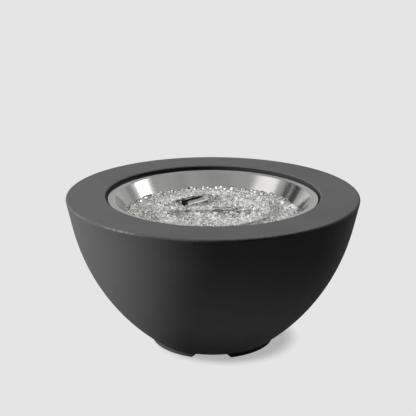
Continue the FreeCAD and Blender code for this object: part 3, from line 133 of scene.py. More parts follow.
def put_in_scene(name, data):
    """Adds an object that carries a mesh, a curve, a light or the camera."""
    made = bpy.data.objects.new(name, data)
    scene.collection.objects.link(made)
    return made


def mesh_from(name, bm):
    """Turns a bmesh into a mesh and frees it."""
    mesh = bpy.data.meshes.new(name)
    bm.to_mesh(mesh)
    bm.free()
    return mesh


def applied_mesh(thing):
    """The mesh that a curve or an object with modifiers comes out as."""
    bpy.context.view_layer.update()
    return bpy.data.meshes.new_from_object(thing.evaluated_get(bpy.context.evaluated_depsgraph_get()))


def hide_from(thing, *rays):
    """Takes a thing out of some kinds of ray: camera, diffuse, glossy, transmission, shadow."""
    for ray in rays:
        setattr(thing, "visible_" + ray, False)


# Material helpers

def node(tree, kind, inputs=None, **settings):
    """Adds a shader node, and links or sets its inputs."""
    made = tree.nodes.new("ShaderNode" + kind)
    for key, setting in settings.items():
        setattr(made, key, setting)
    for key, setting in (inputs or {}).items():
        if isinstance(setting, bpy.types.NodeSocket):
            tree.links.new(setting, made.inputs[key])
        else:
            made.inputs[key].default_value = setting
    return made


def new_finish(name, colour, roughness, metallic=0.0, specular=0.5):
    """A new material, its node tree and its main shader."""
    made = bpy.data.materials.new(name)
    made.use_nodes = True
    tree = made.node_tree
    skin = tree.nodes["Principled BSDF"]
    skin.inputs["Base Color"].default_value = (*colour, 1)
    skin.inputs["Roughness"].default_value = roughness
    skin.inputs["Metallic"].default_value = metallic
    skin.inputs["Specular IOR Level"].default_value = specular
    return made, tree, skin


def opened(made):
    """A finish's node tree, its main shader and the colour that it has so far."""
    tree = made.node_tree
    skin = tree.nodes["Principled BSDF"]
    return tree, skin, skin.inputs["Base Color"].links[0].from_socket


def object_place(tree):
    """Where a point is in the object's own coordinates, which are the bowl's too."""
    return node(tree, "TexCoord").outputs["Object"]


def arithmetic(tree, operation, a, b):
    """One step of arithmetic on two values."""
    return node(tree, "Math", {0: a, 1: b}, operation=operation).outputs["Value"]


def times(tree, a, b):
    """Two values multiplied."""
    return arithmetic(tree, "MULTIPLY", a, b)


def plus(tree, a, b):
    """Two values added."""
    return arithmetic(tree, "ADD", a, b)


def length_of(tree, vector):
    """How long a vector is."""
    return node(tree, "VectorMath", {0: vector}, operation="LENGTH").outputs["Value"]


def from_axis(tree, place):
    """A place's distance from the bowl's axis, and its height."""
    split = node(tree, "SeparateXYZ", {"Vector": place})
    flat = node(tree, "CombineXYZ", {"X": split.outputs["X"], "Y": split.outputs["Y"]})
    return length_of(tree, flat.outputs["Vector"]), split.outputs["Z"]


def mapped(tree, value, limits, levels, kind="LINEAR"):
    """A value carried over from two limits to two levels."""
    spread = node(tree, "MapRange", {
        "Value": value,
        "From Min": limits[0],
        "From Max": limits[1],
        "To Min": levels[0],
        "To Max": levels[1],
    }, interpolation_type=kind)
    return spread.outputs["Result"]


def ramp(tree, value, limits, levels=(0.0, 1.0)):
    """A value eased from one level to another between two limits."""
    return mapped(tree, value, limits, levels, "SMOOTHSTEP")


def grain(tree, place, scale, detail=3.0, limits=(0.3, 0.7), levels=(0.0, 1.0)):
    """A noise pattern, stretched between two levels."""
    noise = node(tree, "TexNoise", {"Vector": place, "Scale": scale, "Detail": detail})
    return mapped(tree, noise.outputs["Fac"], limits, levels)


def stretched(tree, place, scale, turn=(0.0, 0.0, 0.0)):
    """Coordinates turned and then stretched, for a pattern that runs one way."""
    turned = node(tree, "Mapping", {"Vector": place, "Rotation": turn})
    return node(tree, "Mapping", {"Vector": turned.outputs["Vector"], "Scale": scale}).outputs["Vector"]


def blended(tree, share, first, second):
    """Goes from one colour to another by a pattern. Each is three numbers or a socket."""
    ends = {}
    for key, colour in (("A", first), ("B", second)):
        ends[key] = colour if isinstance(colour, bpy.types.NodeSocket) else (*colour, 1)
    return node(tree, "Mix", {"Factor": share, **ends}, data_type="RGBA").outputs["Result"]


def paint(tree, skin, colour):
    """Gives a finish its pattern of colour."""
    tree.links.new(colour, skin.inputs["Base Color"])


def gloss(tree, skin, roughness):
    """Gives a finish its pattern of roughness."""
    tree.links.new(roughness, skin.inputs["Roughness"])


def raise_by(tree, skin, height, distance, strength):
    """Gives a finish small relief by a pattern."""
    relief = node(tree, "Bump", {"Height": height, "Distance": distance, "Strength": strength})
    tree.links.new(relief.outputs["Normal"], skin.inputs["Normal"])


# Camera, lights and floor

def place_camera():
    """The photograph's view: a long lens a little above the rim."""
    rise = math.radians(16.294)
    roll = 0.003
    distance = 2.972
    camera = put_in_scene("view", bpy.data.cameras.new("view"))
    camera.data.sensor_width = 36
    camera.data.lens = 101.44
    camera.data.shift_x = -0.0121
    camera.data.shift_y = -0.0352
    camera.data.clip_end = 80
    spot = Vector((0, -distance * math.cos(rise), RIM_TOP + distance * math.sin(rise)))
    tilt = Matrix.Rotation(math.pi / 2 - rise, 4, "X") @ Matrix.Rotation(roll, 4, "Z")
    camera.matrix_world = Matrix.Translation(spot) @ tilt
    scene.camera = camera


def aimed(direction, distance):
    """A placement at a distance from the bowl that faces it."""
    away = Vector(direction).normalized()
    turn = away.to_track_quat("Z", "Y").to_matrix().to_4x4()
    return Matrix.Translation(BOWL_MIDDLE + away * distance) @ turn


def soft_light(name, direction, level, size, distance=9.0):
    """A round soft light. A level of 1 makes a white surface that faces it white."""
    data = bpy.data.lights.new(name, "AREA")
    data.shape = "DISK"
    data.size = size
    data.energy = level * math.pi ** 2 * distance ** 2
    light = put_in_scene(name, data)
    light.matrix_world = aimed(direction, distance)
    hide_from(light, "camera", "glossy", "transmission")


def glow(name, strength):
    """A plain light-giving finish for the stage."""
    made = bpy.data.materials.new(name)
    made.use_nodes = True
    tree = made.node_tree
    tree.nodes.clear()
    light = node(tree, "Emission", {"Strength": strength})
    node(tree, "OutputMaterial", {"Surface": light.outputs["Emission"]})
    return made


def glow_by(made, level):
    """Makes a light-giving finish follow a pattern."""
    made.node_tree.links.new(level, made.node_tree.nodes["Emission"].inputs["Strength"])


def stage_piece(name, bm, finish, placement=Matrix.Identity(4)):
    """A thing that belongs to the stage."""
    mesh = mesh_from(name, bm)
    mesh.materials.append(finish)
    thing = put_in_scene(name, mesh)
    thing.matrix_world = placement
    return thing


def flat_sheet(width, length):
    """A rectangle about the origin."""
    bm = bmesh.new()
    bmesh.ops.create_grid(bm, x_segments=1, y_segments=1, size=0.5)
    bmesh.ops.scale(bm, vec=(width, length, 1), verts=bm.verts)
    return bm


def reflector(name, direction, width, length, strength, distance=2.6):
    """A card that only shows in polished metal and in glass."""
    card = stage_piece(name, flat_sheet(width, length), glow(name, strength), aimed(direction, distance))
    hide_from(card, "camera", "diffuse", "shadow")


def floor_with_painted_shadow():
    """A pale studio floor with a soft painted contact shadow round the foot, its middle a little to the
    right and front.
    """
    made = glow("studio_floor", 1.0)
    tree = made.node_tree
    shade_middle = (-0.034, 0.009, 0.0)
    from_shade = node(tree, "Mapping", {"Vector": object_place(tree), "Location": shade_middle})
    reach = length_of(tree, from_shade.outputs["Vector"])
    # Painted shadow: the floor is darker within about twenty centimetres of the shadow's middle.
    glow_by(made, ramp(tree, reach, (0.146, 0.200), (0.44, FLOOR_LEVEL)))
    return made


def bounce_finish():
    """The light that comes back off the floor, none of it from under the bowl itself."""
    made = glow("floor_bounce", 1.0)
    tree = made.node_tree
    place = object_place(tree)
    reach = length_of(tree, place)
    side = node(tree, "SeparateXYZ", {"Vector": place}).outputs["X"]
    beyond_foot = ramp(tree, reach, (0.23, 0.46), (0.0, 0.31))
    fading = ramp(tree, reach, (0.50, 1.05), (1.0, 0.04))
    less_at_left = ramp(tree, side, (-0.50, -0.10), (0.12, 1.15))
    less_at_right = ramp(tree, side, (0.10, 0.45), (1.0, 0.30))
    outward = times(tree, beyond_foot, fading)
    sideways = times(tree, less_at_left, less_at_right)
    glow_by(made, times(tree, outward, sideways))
    return made


def light_the_bowl():
    """A broad key from the left, a low light from behind on the right, and two weak fills."""
    soft_light("key_left", (-0.93, -0.03, 0.36), level=1.42, size=3.0)
    soft_light("edge_right", (0.652, 0.548, 0.524), level=0.42, size=2.4)
    soft_light("top", (-0.05, 0.05, 0.99), level=0.24, size=0.9, distance=1.2)
    soft_light("back_fill", (0.10, 0.98, 0.15), level=0.28, size=3.0)


def lay_the_floor():
    """A floor and a dome of one tone that the camera sees, the floor with a painted contact shadow, and a
    dim bounce that it doesn't.
    """
    dome = bmesh.new()
    bmesh.ops.create_uvsphere(dome, u_segments=48, v_segments=24, radius=28)
    backdrop = stage_piece("backdrop", dome, glow("backdrop", FLOOR_LEVEL))
    hide_from(backdrop, "diffuse", "glossy", "transmission", "shadow")
    floor = stage_piece("floor", flat_sheet(60, 60), floor_with_painted_shadow())
    hide_from(floor, "diffuse", "glossy", "shadow")
    below_floor = Matrix.Translation((0, 0, -0.004))
    bounce = stage_piece("floor_bounce", flat_sheet(2.4, 2.4), bounce_finish(), below_floor)
    hide_from(bounce, "camera", "glossy", "transmission", "shadow")


def set_up_reflectors():
    """Cards for the bright and dark streaks in the pan's wall and the glints in the glass."""
    reflector("card_right", (0.745, 0.395, 0.50), width=0.56, length=1.5, strength=3.4)
    reflector("card_left", (-0.75, 0.0, 0.66), width=1.30, length=1.2, strength=1.3)
    reflector("card_dark_left", (-0.68, 0.60, 0.42), width=0.9, length=1.5, strength=0.05, distance=2.5)
    reflector("strip_left", (-0.70, 0.58, 0.42), width=0.07, length=1.5, strength=0.9, distance=2.4)
    reflector("card_low_left", (-0.42, 0.90, 0.10), width=0.8, length=0.9, strength=0.75)
    reflector("card_dim_right", (0.66, 0.70, 0.28), width=0.42, length=1.2, strength=0.33, distance=2.5)
    reflector("card_front", (0.10, -0.88, 0.47), width=0.8, length=0.8, strength=5.0)


def set_the_world():
    """A faintly clouded grey room, which only shows in gloss and through glass."""
    world = bpy.data.worlds.new("studio")
    world.use_nodes = True
    tree = world.node_tree
    back = tree.nodes["Background"]
    back.inputs["Color"].default_value = (0.98, 0.99, 1.0, 1)
    toward = node(tree, "TexCoord").outputs["Generated"]
    clouds = grain(tree, toward, 3.0, detail=2.0, limits=(0.35, 0.65), levels=(0.85, 1.15))
    height = node(tree, "SeparateXYZ", {"Vector": toward}).outputs["Z"]
    level = times(tree, clouds, ramp(tree, height, (0.1, 0.8), (0.56, 0.44)))
    tree.links.new(level, back.inputs["Strength"])
    world.cycles_visibility.diffuse = False
    scene.world = world
    scene.view_settings.view_transform = "Standard"


# Finishes

def painted_edge_highlight(tree, place):
    """A painted highlight along the rim's outer edge, in broken stretches, brightest round one spot at the
    front left.
    """
    out, height = from_axis(tree, place)
    edge = times(tree, ramp(tree, out, (0.3682, 0.3697)), ramp(tree, height, (0.3786, 0.3802)))
    fine = grain(tree, place, 160.0, limits=(0.35, 0.6))
    stretches = times(tree, grain(tree, place, 14.0, detail=2.0, limits=(0.50, 0.62)), 0.45)
    away = node(tree, "VectorMath", {0: place, 1: HIGHLIGHT_SPOT}, operation="DISTANCE").outputs["Value"]
    brightest_patch = ramp(tree, away, (0.020, 0.070), (1.0, 0.0))
    most = arithmetic(tree, "MAXIMUM", stretches, brightest_patch)
    return times(tree, edge, times(tree, fine, most))


def painted_shade(tree, place):
    """Painted shade, as the share of the colour that stays: less towards the foot, where the bowl meets
    the floor, and least in the rebate round the pan.
    """
    out, height = from_axis(tree, place)
    inside = ramp(tree, out, (0.276, 0.280), (0.62, 0.0))
    below_rim = ramp(tree, height, (0.3808, 0.3828), (1.0, 0.0))
    above_ledge = ramp(tree, height, (0.355, 0.365))
    rebate = times(tree, times(tree, inside, below_rim), above_ledge)
    foot = ramp(tree, height, (0.008, 0.024), (0.66, 1.0))
    return times(tree, arithmetic(tree, "SUBTRACT", 1.0, rebate), foot)


def pinholes(tree, place):
    """Small round pits in a few of the cells of a pattern."""
    cells = node(tree, "TexVoronoi", {"Vector": place, "Scale": 95.0})
    chance = node(tree, "SeparateColor", {"Color": cells.outputs["Color"]}).outputs["Red"]
    chosen = arithmetic(tree, "GREATER_THAN", chance, 0.93)
    return times(tree, chosen, mapped(tree, cells.outputs["Distance"], (0.05, 0.16), (1.0, 0.0)))


def cast_concrete():
    """Charcoal concrete: faint clouds, fine sand grain and a few pinholes, with a painted highlight on the
    rim's outer edge and painted shade in the pinholes, at the foot and in the rebate.
    """
    made, tree, skin = new_finish("charcoal_concrete", (0.125, 0.125, 0.125), 0.8, specular=0.04)
    place = object_place(tree)
    clouds = grain(tree, place, 6.0, detail=5.0, limits=(0.32, 0.68))
    cloudy = blended(tree, clouds, (0.116, 0.116, 0.117), (0.133, 0.133, 0.132))
    shade = grain(tree, place, 260.0, detail=2.0, limits=(0.2, 0.8), levels=(0.93, 1.07))
    sandy = node(tree, "Mix", {
        "Factor": 1.0,
        "A": cloudy,
        "B": shade,
    }, data_type="RGBA", blend_type="MULTIPLY").outputs["Result"]
    pits = pinholes(tree, place)
    # The pits are painted darker, as painted shade inside them; the relief below sinks them too.
    pitted = blended(tree, pits, sandy, (0.055, 0.055, 0.055))
    # The rim's outer edge is made paler in broken stretches: a painted highlight.
    lightened = blended(tree, painted_edge_highlight(tree, place), pitted, (0.27, 0.27, 0.265))
    # The colour is darkened by painted shade at the foot and in the rebate.
    shaded_colour = node(tree, "VectorMath", {0: lightened, "Scale": painted_shade(tree, place)}, operation="SCALE")
    paint(tree, skin, shaded_colour.outputs["Vector"])
    sand = grain(tree, place, 420.0, limits=(0.25, 0.75))
    raise_by(tree, skin, arithmetic(tree, "SUBTRACT", sand, pits), 0.00025, 0.6)
    gloss(tree, skin, grain(tree, place, 30.0, levels=(0.74, 0.86)))
    return made


def spun_steel():
    """Steel turned on a lathe: fine rings round the axis."""
    made, tree, skin = new_finish("spun_steel", (0.64, 0.63, 0.615), 0.2, metallic=1.0)
    place = object_place(tree)
    out, height = from_axis(tree, place)
    across = plus(tree, out, times(tree, height, 1.3))
    rings = node(tree, "CombineXYZ", {"X": across}).outputs["Vector"]
    lathe = grain(tree, rings, 900.0, detail=2.0, limits=(0.2, 0.8))
    smear = grain(tree, place, 9.0, detail=4.0)
    rough = plus(tree, times(tree, lathe, 0.04), times(tree, smear, 0.05))
    gloss(tree, skin, plus(tree, rough, 0.12))
    paint(tree, skin, blended(tree, smear, (0.60, 0.59, 0.575), (0.67, 0.66, 0.645)))
    raise_by(tree, skin, lathe, 0.00002, 0.5)
    skin.inputs["Anisotropic"].default_value = 0.7
    skin.inputs["Anisotropic Rotation"].default_value = 0.25
    tangent = node(tree, "Tangent", direction_type="RADIAL", axis="Z")
    tree.links.new(tangent.outputs["Tangent"], skin.inputs["Tangent"])
    return made


def brushed(name, turn, colour, roughness):
    """Sheet steel brushed one way."""
    made, tree, skin = new_finish(name, colour, roughness, metallic=1.0)
    place = object_place(tree)
    brushing = stretched(tree, place, (12.0, 900.0, 900.0), turn)
    lines = grain(tree, brushing, 1.0, limits=(0.25, 0.75))
    cloud = grain(tree, place, 22.0)
    rough = plus(tree, times(tree, lines, 0.10), times(tree, cloud, 0.06))
    gloss(tree, skin, plus(tree, rough, roughness - 0.07))
    dim = tuple(0.90 * c for c in colour)
    paint(tree, skin, blended(tree, lines, dim, colour))
    raise_by(tree, skin, lines, 0.00003, 0.5)
    return made


def burner_steel():
    """Dull tube steel with straw and blue heat colours."""
    made, tree, skin = new_finish("burner_steel", (0.26, 0.25, 0.24), 0.42, metallic=1.0)
    place = object_place(tree)
    heat = grain(tree, place, 16.0, detail=4.0, limits=(0.35, 0.65))
    paint(tree, skin, blended(tree, heat, (0.16, 0.16, 0.17), (0.32, 0.30, 0.26)))
    gloss(tree, skin, grain(tree, place, 55.0, detail=5.0, levels=(0.34, 0.52)))
    raise_by(tree, skin, grain(tree, place, 600.0, detail=2.0), 0.00003, 0.4)
    return made


def hood_steel():
    """The pilot hood's sheet, brushed along, and painted near-black round its open end as painted shade
    for the dark inside of that end.
    """
    made = brushed("hood_steel", (0.0, 0.0, HOOD_TURN), (0.66, 0.65, 0.64), 0.36)
    tree, skin, bright = opened(made)
    place = object_place(tree)
    across = node(tree, "SeparateXYZ", {"Vector": place}).outputs["X"]
    ragged = plus(tree, across, grain(tree, place, 300.0, levels=(-0.0012, 0.0012)))
    unshaded = ramp(tree, ragged, (SHADE_UP_TO_X, SHADE_UP_TO_X + 0.0015))
    # Near-black painted shade over the hood's open end, with a ragged border.
    paint(tree, skin, blended(tree, unshaded, (0.010, 0.010, 0.010), bright))
    return made


def sooted_steel():
    """Sheet steel blackened by the flame, a little scaled."""
    made, tree, skin = new_finish("sooted_steel", (0.012, 0.012, 0.012), 0.6, metallic=0.6)
    place = object_place(tree)
    scale = grain(tree, place, 180.0, detail=5.0, limits=(0.45, 0.75))
    paint(tree, skin, blended(tree, scale, (0.010, 0.010, 0.010), (0.045, 0.043, 0.040)))
    gloss(tree, skin, grain(tree, place, 60.0, levels=(0.5, 0.75)))
    raise_by(tree, skin, scale, 0.0001, 0.6)
    return made


def machined(name, dark, light, roughness):
    """Turned brass or copper, with faint tarnish."""
    made, tree, skin = new_finish(name, light, roughness, metallic=1.0)
    place = object_place(tree)
    tarnish = grain(tree, place, 70.0, detail=5.0, limits=(0.35, 0.7))
    paint(tree, skin, blended(tree, tarnish, light, dark))
    gloss(tree, skin, grain(tree, place, 90.0, levels=(roughness - 0.06, roughness + 0.10)))
    raise_by(tree, skin, grain(tree, place, 1500.0, detail=2.0), 0.00002, 0.4)
    return made


def moulded(name, colour, roughness, texture):
    """Moulded plastic or rubber with a fine grain, rubbed paler in places."""
    made, tree, skin = new_finish(name, colour, roughness)
    place = object_place(tree)
    dulling = (roughness - 0.05, roughness + 0.08)
    gloss(tree, skin, grain(tree, place, 60.0, detail=5.0, limits=(0.3, 0.75), levels=dulling))
    lightened = tuple(min(1.0, c * 1.5) for c in colour)
    rubbed = grain(tree, place, 35.0, detail=4.0, limits=(0.45, 0.8))
    paint(tree, skin, blended(tree, rubbed, colour, lightened))
    raise_by(tree, skin, grain(tree, place, 1400.0, detail=2.0), texture, 0.5)
    return made


def black_plastic(name):
    """The black plastic of the gas knob and the igniter."""
    return moulded(name, (0.022, 0.022, 0.023), 0.48, 0.00005)


def knob_plastic():
    """The knob's black plastic, with its raised pointer wiped pale."""
    made = black_plastic("knob_plastic")
    tree, skin, plain = opened(made)
    axis = tuple(CONTROL_AXIS)
    reach = node(tree, "VectorMath", {0: object_place(tree), 1: axis}, operation="DOT_PRODUCT")
    face = VALVE_SPOT.dot(CONTROL_AXIS) + KNOB_FACE
    wiped = ramp(tree, reach.outputs["Value"], (face, face + 0.0003))
    paint(tree, skin, blended(tree, wiped, plain, (0.60, 0.60, 0.59)))
    return made


def cell_jacket():
    """The plain film round a dry cell."""
    made, tree, skin = new_finish("cell_jacket", (0.16, 0.18, 0.20), 0.32, metallic=0.3)
    film = grain(tree, object_place(tree), 120.0)
    paint(tree, skin, blended(tree, film, (0.14, 0.16, 0.18), (0.19, 0.21, 0.23)))
    raise_by(tree, skin, film, 0.00002, 0.4)
    return made


def wire_braid():
    """Woven wire over a hose: two sets of strands that cross on the surface."""
    made, tree, skin = new_finish("wire_braid", (0.60, 0.60, 0.59), 0.34, metallic=1.0)
    wrap = node(tree, "UVMap").outputs["UV"]
    strands = []
    for lean in (10.0, -10.0):
        run = stretched(tree, wrap, (150.0, lean, 1.0))
        waves = node(tree, "TexWave", {"Vector": run, "Scale": 0.5}, bands_direction="DIAGONAL")
        strands.append(waves.outputs["Fac"])
    weave = arithmetic(tree, "MAXIMUM", *strands)
    paint(tree, skin, blended(tree, weave, (0.22, 0.22, 0.22), (0.66, 0.66, 0.65)))
    raise_by(tree, skin, weave, 0.0003, 0.8)
    return made


def glazed_ceramic():
    """White ceramic with a faint stain."""
    made, tree, skin = new_finish("white_alumina", (0.82, 0.80, 0.76), 0.35)
    place = object_place(tree)
    stain = grain(tree, place, 90.0, detail=4.0)
    paint(tree, skin, blended(tree, stain, (0.74, 0.71, 0.66), (0.86, 0.84, 0.80)))
    raise_by(tree, skin, grain(tree, place, 900.0, detail=2.0), 0.00002, 0.4)
    return made


def clear_glass():
    """Tumbled clear glass with the faint green of plain float glass."""
    made, tree, skin = new_finish("tumbled_glass", (0.990, 0.992, 0.984), 0.02)
    skin.inputs["Transmission Weight"].default_value = 1.0
    skin.inputs["IOR"].default_value = 1.5
    raise_by(tree, skin, grain(tree, object_place(tree), 90.0, detail=2.0), 0.0005, 0.08)
    return made


def packed_glass(name, dark, light):
    """The glass deep in the bed, where it only glints between the pieces above."""
    made, tree, skin = new_finish(name, light, 0.3)
    chips = node(tree, "TexVoronoi", {"Vector": object_place(tree), "Scale": 75.0})
    chance = node(tree, "SeparateColor", {"Color": chips.outputs["Color"]})
    paint(tree, skin, blended(tree, chance.outputs["Green"], dark, light))
    gloss(tree, skin, mapped(tree, chance.outputs["Red"], (0.0, 1.0), (0.12, 0.45)))
    raise_by(tree, skin, chips.outputs["Distance"], 0.006, 0.9)
    return made


def finishes_by_slot():
    """One finish for each of the record's material slots."""
    return {
        "concrete": cast_concrete(),
        "stainless": brushed("brushed_steel", (PANEL_LEAN, 0.0, 0.0), (0.62, 0.61, 0.60), 0.28),
        "burner_steel": burner_steel(),
        "brass": machined("turned_brass", (0.42, 0.30, 0.13), (0.68, 0.52, 0.25), 0.28),
        "copper": machined("drawn_copper", (0.40, 0.20, 0.11), (0.74, 0.42, 0.28), 0.30),
        "black_plastic": black_plastic("black_plastic"),
        "button_plastic": moulded("button_plastic", (0.05, 0.05, 0.052), 0.25, 0.00001),
        "cell_jacket": cell_jacket(),
        "hose_braid": wire_braid(),
        "lead_rubber": moulded("silicone_sleeve", (0.025, 0.025, 0.026), 0.42, 0.00002),
        "ceramic": glazed_ceramic(),
        "clear_glass": clear_glass(),
    }


def dress_cad_nodes(by_slot):
    """Gives every CAD node its slot's finish, and three nodes one of their own."""
    by_node = {"pilot_hood": hood_steel(), "pilot_shield": sooted_steel(), "valve_knob": knob_plastic()}
    slots = {part["node"]: part["material_slot"] for part in frame["record"]["subparts"]}
    for name, thing in nodes.items():
        thing.data.materials.clear()
        thing.data.materials.append(by_node.get(name) or by_slot[slots[name]])


# Mesh helpers

def piece(name, bm, material, body, smooth_angle=None):
    """Turns a bmesh into a named piece that rides on a body of the model."""
    mesh = mesh_from(name, bm)
    mesh.materials.append(material)
    if smooth_angle is not None:
        mesh.shade_smooth()
        mesh.set_sharp_from_angle(angle=math.radians(smooth_angle))
    made = put_in_scene(name, mesh)
    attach(made, body)
    return made


def turned_form(outline, steps, rounding=None):
    """Spins a closed outline of (radius, height) corners round Z, some rounded first by their number."""
    bm = bmesh.new()
    corners = [bm.verts.new((r, 0, z)) for r, z in outline]
    for a, b in zip(corners, corners[1:] + corners[:1]):
        bm.edges.new((a, b))
    for index, offset in (rounding or {}).items():
        bmesh.ops.bevel(bm, geom=[corners[index]], offset=offset, offset_type="OFFSET", segments=5,
                        profile=0.5, affect="VERTICES", material=-1)
    bmesh.ops.spin(bm, geom=bm.verts[:] + bm.edges[:], cent=(0, 0, 0), axis=(0, 0, 1), dvec=(0, 0, 0),
                   angle=2 * math.pi, steps=steps, use_merge=True, use_duplicate=False)
    bmesh.ops.remove_doubles(bm, verts=bm.verts, dist=1e-6)
    bmesh.ops.recalc_face_normals(bm, faces=bm.faces)
    return bm


# The pan

def pan_wall(height):
    """Radius of the pan's sloping wall, inside, at a height."""
    return PAN_MOUTH - (FLANGE_TOP - height) * PAN_SLOPE


def pan_floor_holes():
    """The small holes in the pan's floor, each as x, y and radius."""
    holes = []
    for quarter in range(4):
        angle = math.radians(45 + 90 * quarter)
        holes.append((DRAIN_CIRCLE * math.cos(angle), DRAIN_CIRCLE * math.sin(angle), DRAIN_RADIUS))
    for along, radius in ((-PROBE_OFFSET, IGNITER_HOLE), (PROBE_OFFSET, SENSOR_HOLE)):
        x, y, _ = HOOD_SPOT @ Vector((along, 0, 0))
        holes.append((x, y, radius))
    return holes


def bore_through(pan, holes):
    """Bores round holes straight down through the pan's floor."""
    bm = bmesh.new()
    for x, y, radius in holes:
        bmesh.ops.create_cone(bm, cap_ends=True, segments=24, radius1=radius, radius2=radius, depth=0.01,
                              matrix=Matrix.Translation((x, y, PAN_FLOOR)))
    drill = put_in_scene("drill", mesh_from("drill", bm))
    cut = pan.modifiers.new("bores", "BOOLEAN")
    cut.operation = "DIFFERENCE"
    cut.solver = "EXACT"
    cut.object = drill
    bored = applied_mesh(pan)
    pan.modifiers.remove(cut)
    pan.data = bored
    drill_mesh = drill.data
    bpy.data.objects.remove(drill)
    bpy.data.meshes.remove(drill_mesh)


def make_pan(material):
    """The drop-in pan: a flat flange, a rolled bend and a coned wall down to a flat floor."""
    under_wall = SHEET / math.cos(PAN_LEAN) - SHEET * PAN_SLOPE
    floor_radius = pan_wall(PAN_FLOOR)
    outline = [
        (PAN_HOLE, PAN_FLOOR - SHEET),
        (floor_radius + under_wall, PAN_FLOOR - SHEET),
        (PAN_MOUTH + under_wall, FLANGE_TOP - SHEET),
        (FLANGE_RADIUS, FLANGE_TOP - SHEET),
        (FLANGE_RADIUS, FLANGE_TOP),
        (PAN_MOUTH, FLANGE_TOP),
        (floor_radius, PAN_FLOOR),
        (PAN_HOLE, PAN_FLOOR),
    ]
    rounding = {5: 0.0040, 2: 0.0035, 6: 0.003, 1: 0.003, 4: 0.0004}
    pan = piece("pan", turned_form(outline, 192, rounding), material, "burner", 40)
    bore_through(pan, pan_floor_holes())
    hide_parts("burner_pan")


# The glass

def glass_level(radius):
    """Height of the bed's surface at a radius."""
    share = (GLASS_EDGE_RADIUS - radius) / (GLASS_EDGE_RADIUS - GLASS_FLAT_RADIUS)
    return GLASS_EDGE_Z + GLASS_CROWN * max(0.0, min(1.0, share))


def tumbled_shape(rng, flats):
    """One lump of glass, two units across, melted round but for a few flats."""
    bm = bmesh.new()
    bmesh.ops.create_icosphere(bm, subdivisions=2, radius=1.0)
    for _ in range(flats):
        normal = Vector((rng.uniform(-1, 1), rng.uniform(-1, 1), rng.uniform(-1, 1))).normalized()
        reach = rng.uniform(0.62, 0.85)
        for vert in bm.verts:
            beyond = vert.co.dot(normal) - reach
            if beyond > 0:
                vert.co -= normal * beyond * 0.85
    bmesh.ops.recalc_face_normals(bm, faces=bm.faces)
    mesh = mesh_from("lump", bm)
    mesh.shade_smooth()
    return mesh


def in_hood(x, y, radius):
    """Whether a lump would lie in or against the pilot hood, or in the way of its open end."""
    spot = TO_HOOD @ Vector((x, y, 0))
    mouth = 0.005
    margin = 0.7 * radius
    along = -HOOD_HALF_LENGTH - mouth - margin < spot.x < HOOD_HALF_LENGTH + margin
    return along and abs(spot.y) < HOOD_HALF_WIDTH + margin


def heap_top(x, y):
    """Height that the loose glass is heaped to, lower round the hood so that it stands clear."""
    spot = TO_HOOD @ Vector((x, y, 0))
    wider_in_front = 0.6 if spot.y < 0 else 1.0
    aside = max(0.0, abs(spot.y) - HOOD_HALF_WIDTH) * wider_in_front
    beyond = math.hypot(max(0.0, abs(spot.x) - HOOD_HALF_LENGTH), aside)
    dip = HOOD_DIP * math.exp(-(beyond / HOOD_DIP_WIDTH) ** 2)
    return glass_level(math.hypot(x, y)) + HEAP_OVER_BED - dip


def bar_shows(x):
    """Whether a place along the crossbar is in its bare stretch."""
    return BAR_SHOWS_FROM < x < BAR_SHOWS_TO


class GlassHeap:
    """Lumps that rest on the bed, on the burner's tubes and on each other."""

    CELL = 0.022
    TOUCH = 0.80

    def __init__(self):
        self.lumps = []
        self.cells = {}

    def cell(self, x, y):
        """The square of the plan that a place is in, a little wider than two lumps that touch."""
        return int(x // self.CELL), int(y // self.CELL)

    def rest_height(self, x, y, radius):
        """How high a lump comes to rest that is dropped at a place."""
        out = math.hypot(x, y)
        height = glass_level(out) - BED_DEPTH + 0.7 * radius
        near_ring = abs(out - RING_RADIUS) < TUBE_HALF + 0.2 * radius
        near_bar = abs(y) < TUBE_HALF + 0.2 * radius and out < RING_RADIUS
        if near_ring or near_bar:
            height = TUBE_TOP + CRUST + 0.5 * radius
        across, up = self.cell(x, y)
        for i in (across - 1, across, across + 1):
            for j in (up - 1, up, up + 1):
                for ox, oy, oz, other in self.cells.get((i, j), ()):
                    touch = self.TOUCH * (radius + other)
                    gap = (x - ox) ** 2 + (y - oy) ** 2
                    if gap < touch * touch:
                        height = max(height, oz + math.sqrt(touch * touch - gap))
        return height

    def keep(self, x, y, z, radius):
        """Adds a lump where it rests."""
        self.lumps.append((x, y, z, radius))
        self.cells.setdefault(self.cell(x, y), []).append((x, y, z, radius))


def drop_gems(heap, rng):
    """Drops large lumps, each into the lowest of a few spots that aren't full."""
    overfill = 0.003
    for _ in range(GEM_DROPS):
        radius = rng.uniform(*GEM_RADIUS)
        spots = []
        for _ in range(5):
            out = (GLASS_EDGE_RADIUS - 0.4 * radius) * math.sqrt(rng.random())
            angle = rng.uniform(0, 2 * math.pi)
            x, y = out * math.cos(angle), out * math.sin(angle)
            if not in_hood(x, y, radius):
                z = heap.rest_height(x, y, radius)
                spots.append((z + radius - heap_top(x, y), x, y, z))
        if not spots:
            continue
        over, x, y, z = min(spots)
        hides_bar = bar_shows(x) and -0.020 < y < -0.004 and z > TUBE_TOP
        if over > overfill or hides_bar:
            continue
        out = math.hypot(x, y)
        wall = pan_wall(z) - radius * 1.05
        if out > wall:
            x, y = x * wall / out, y * wall / out
        heap.keep(x, y, z, radius)


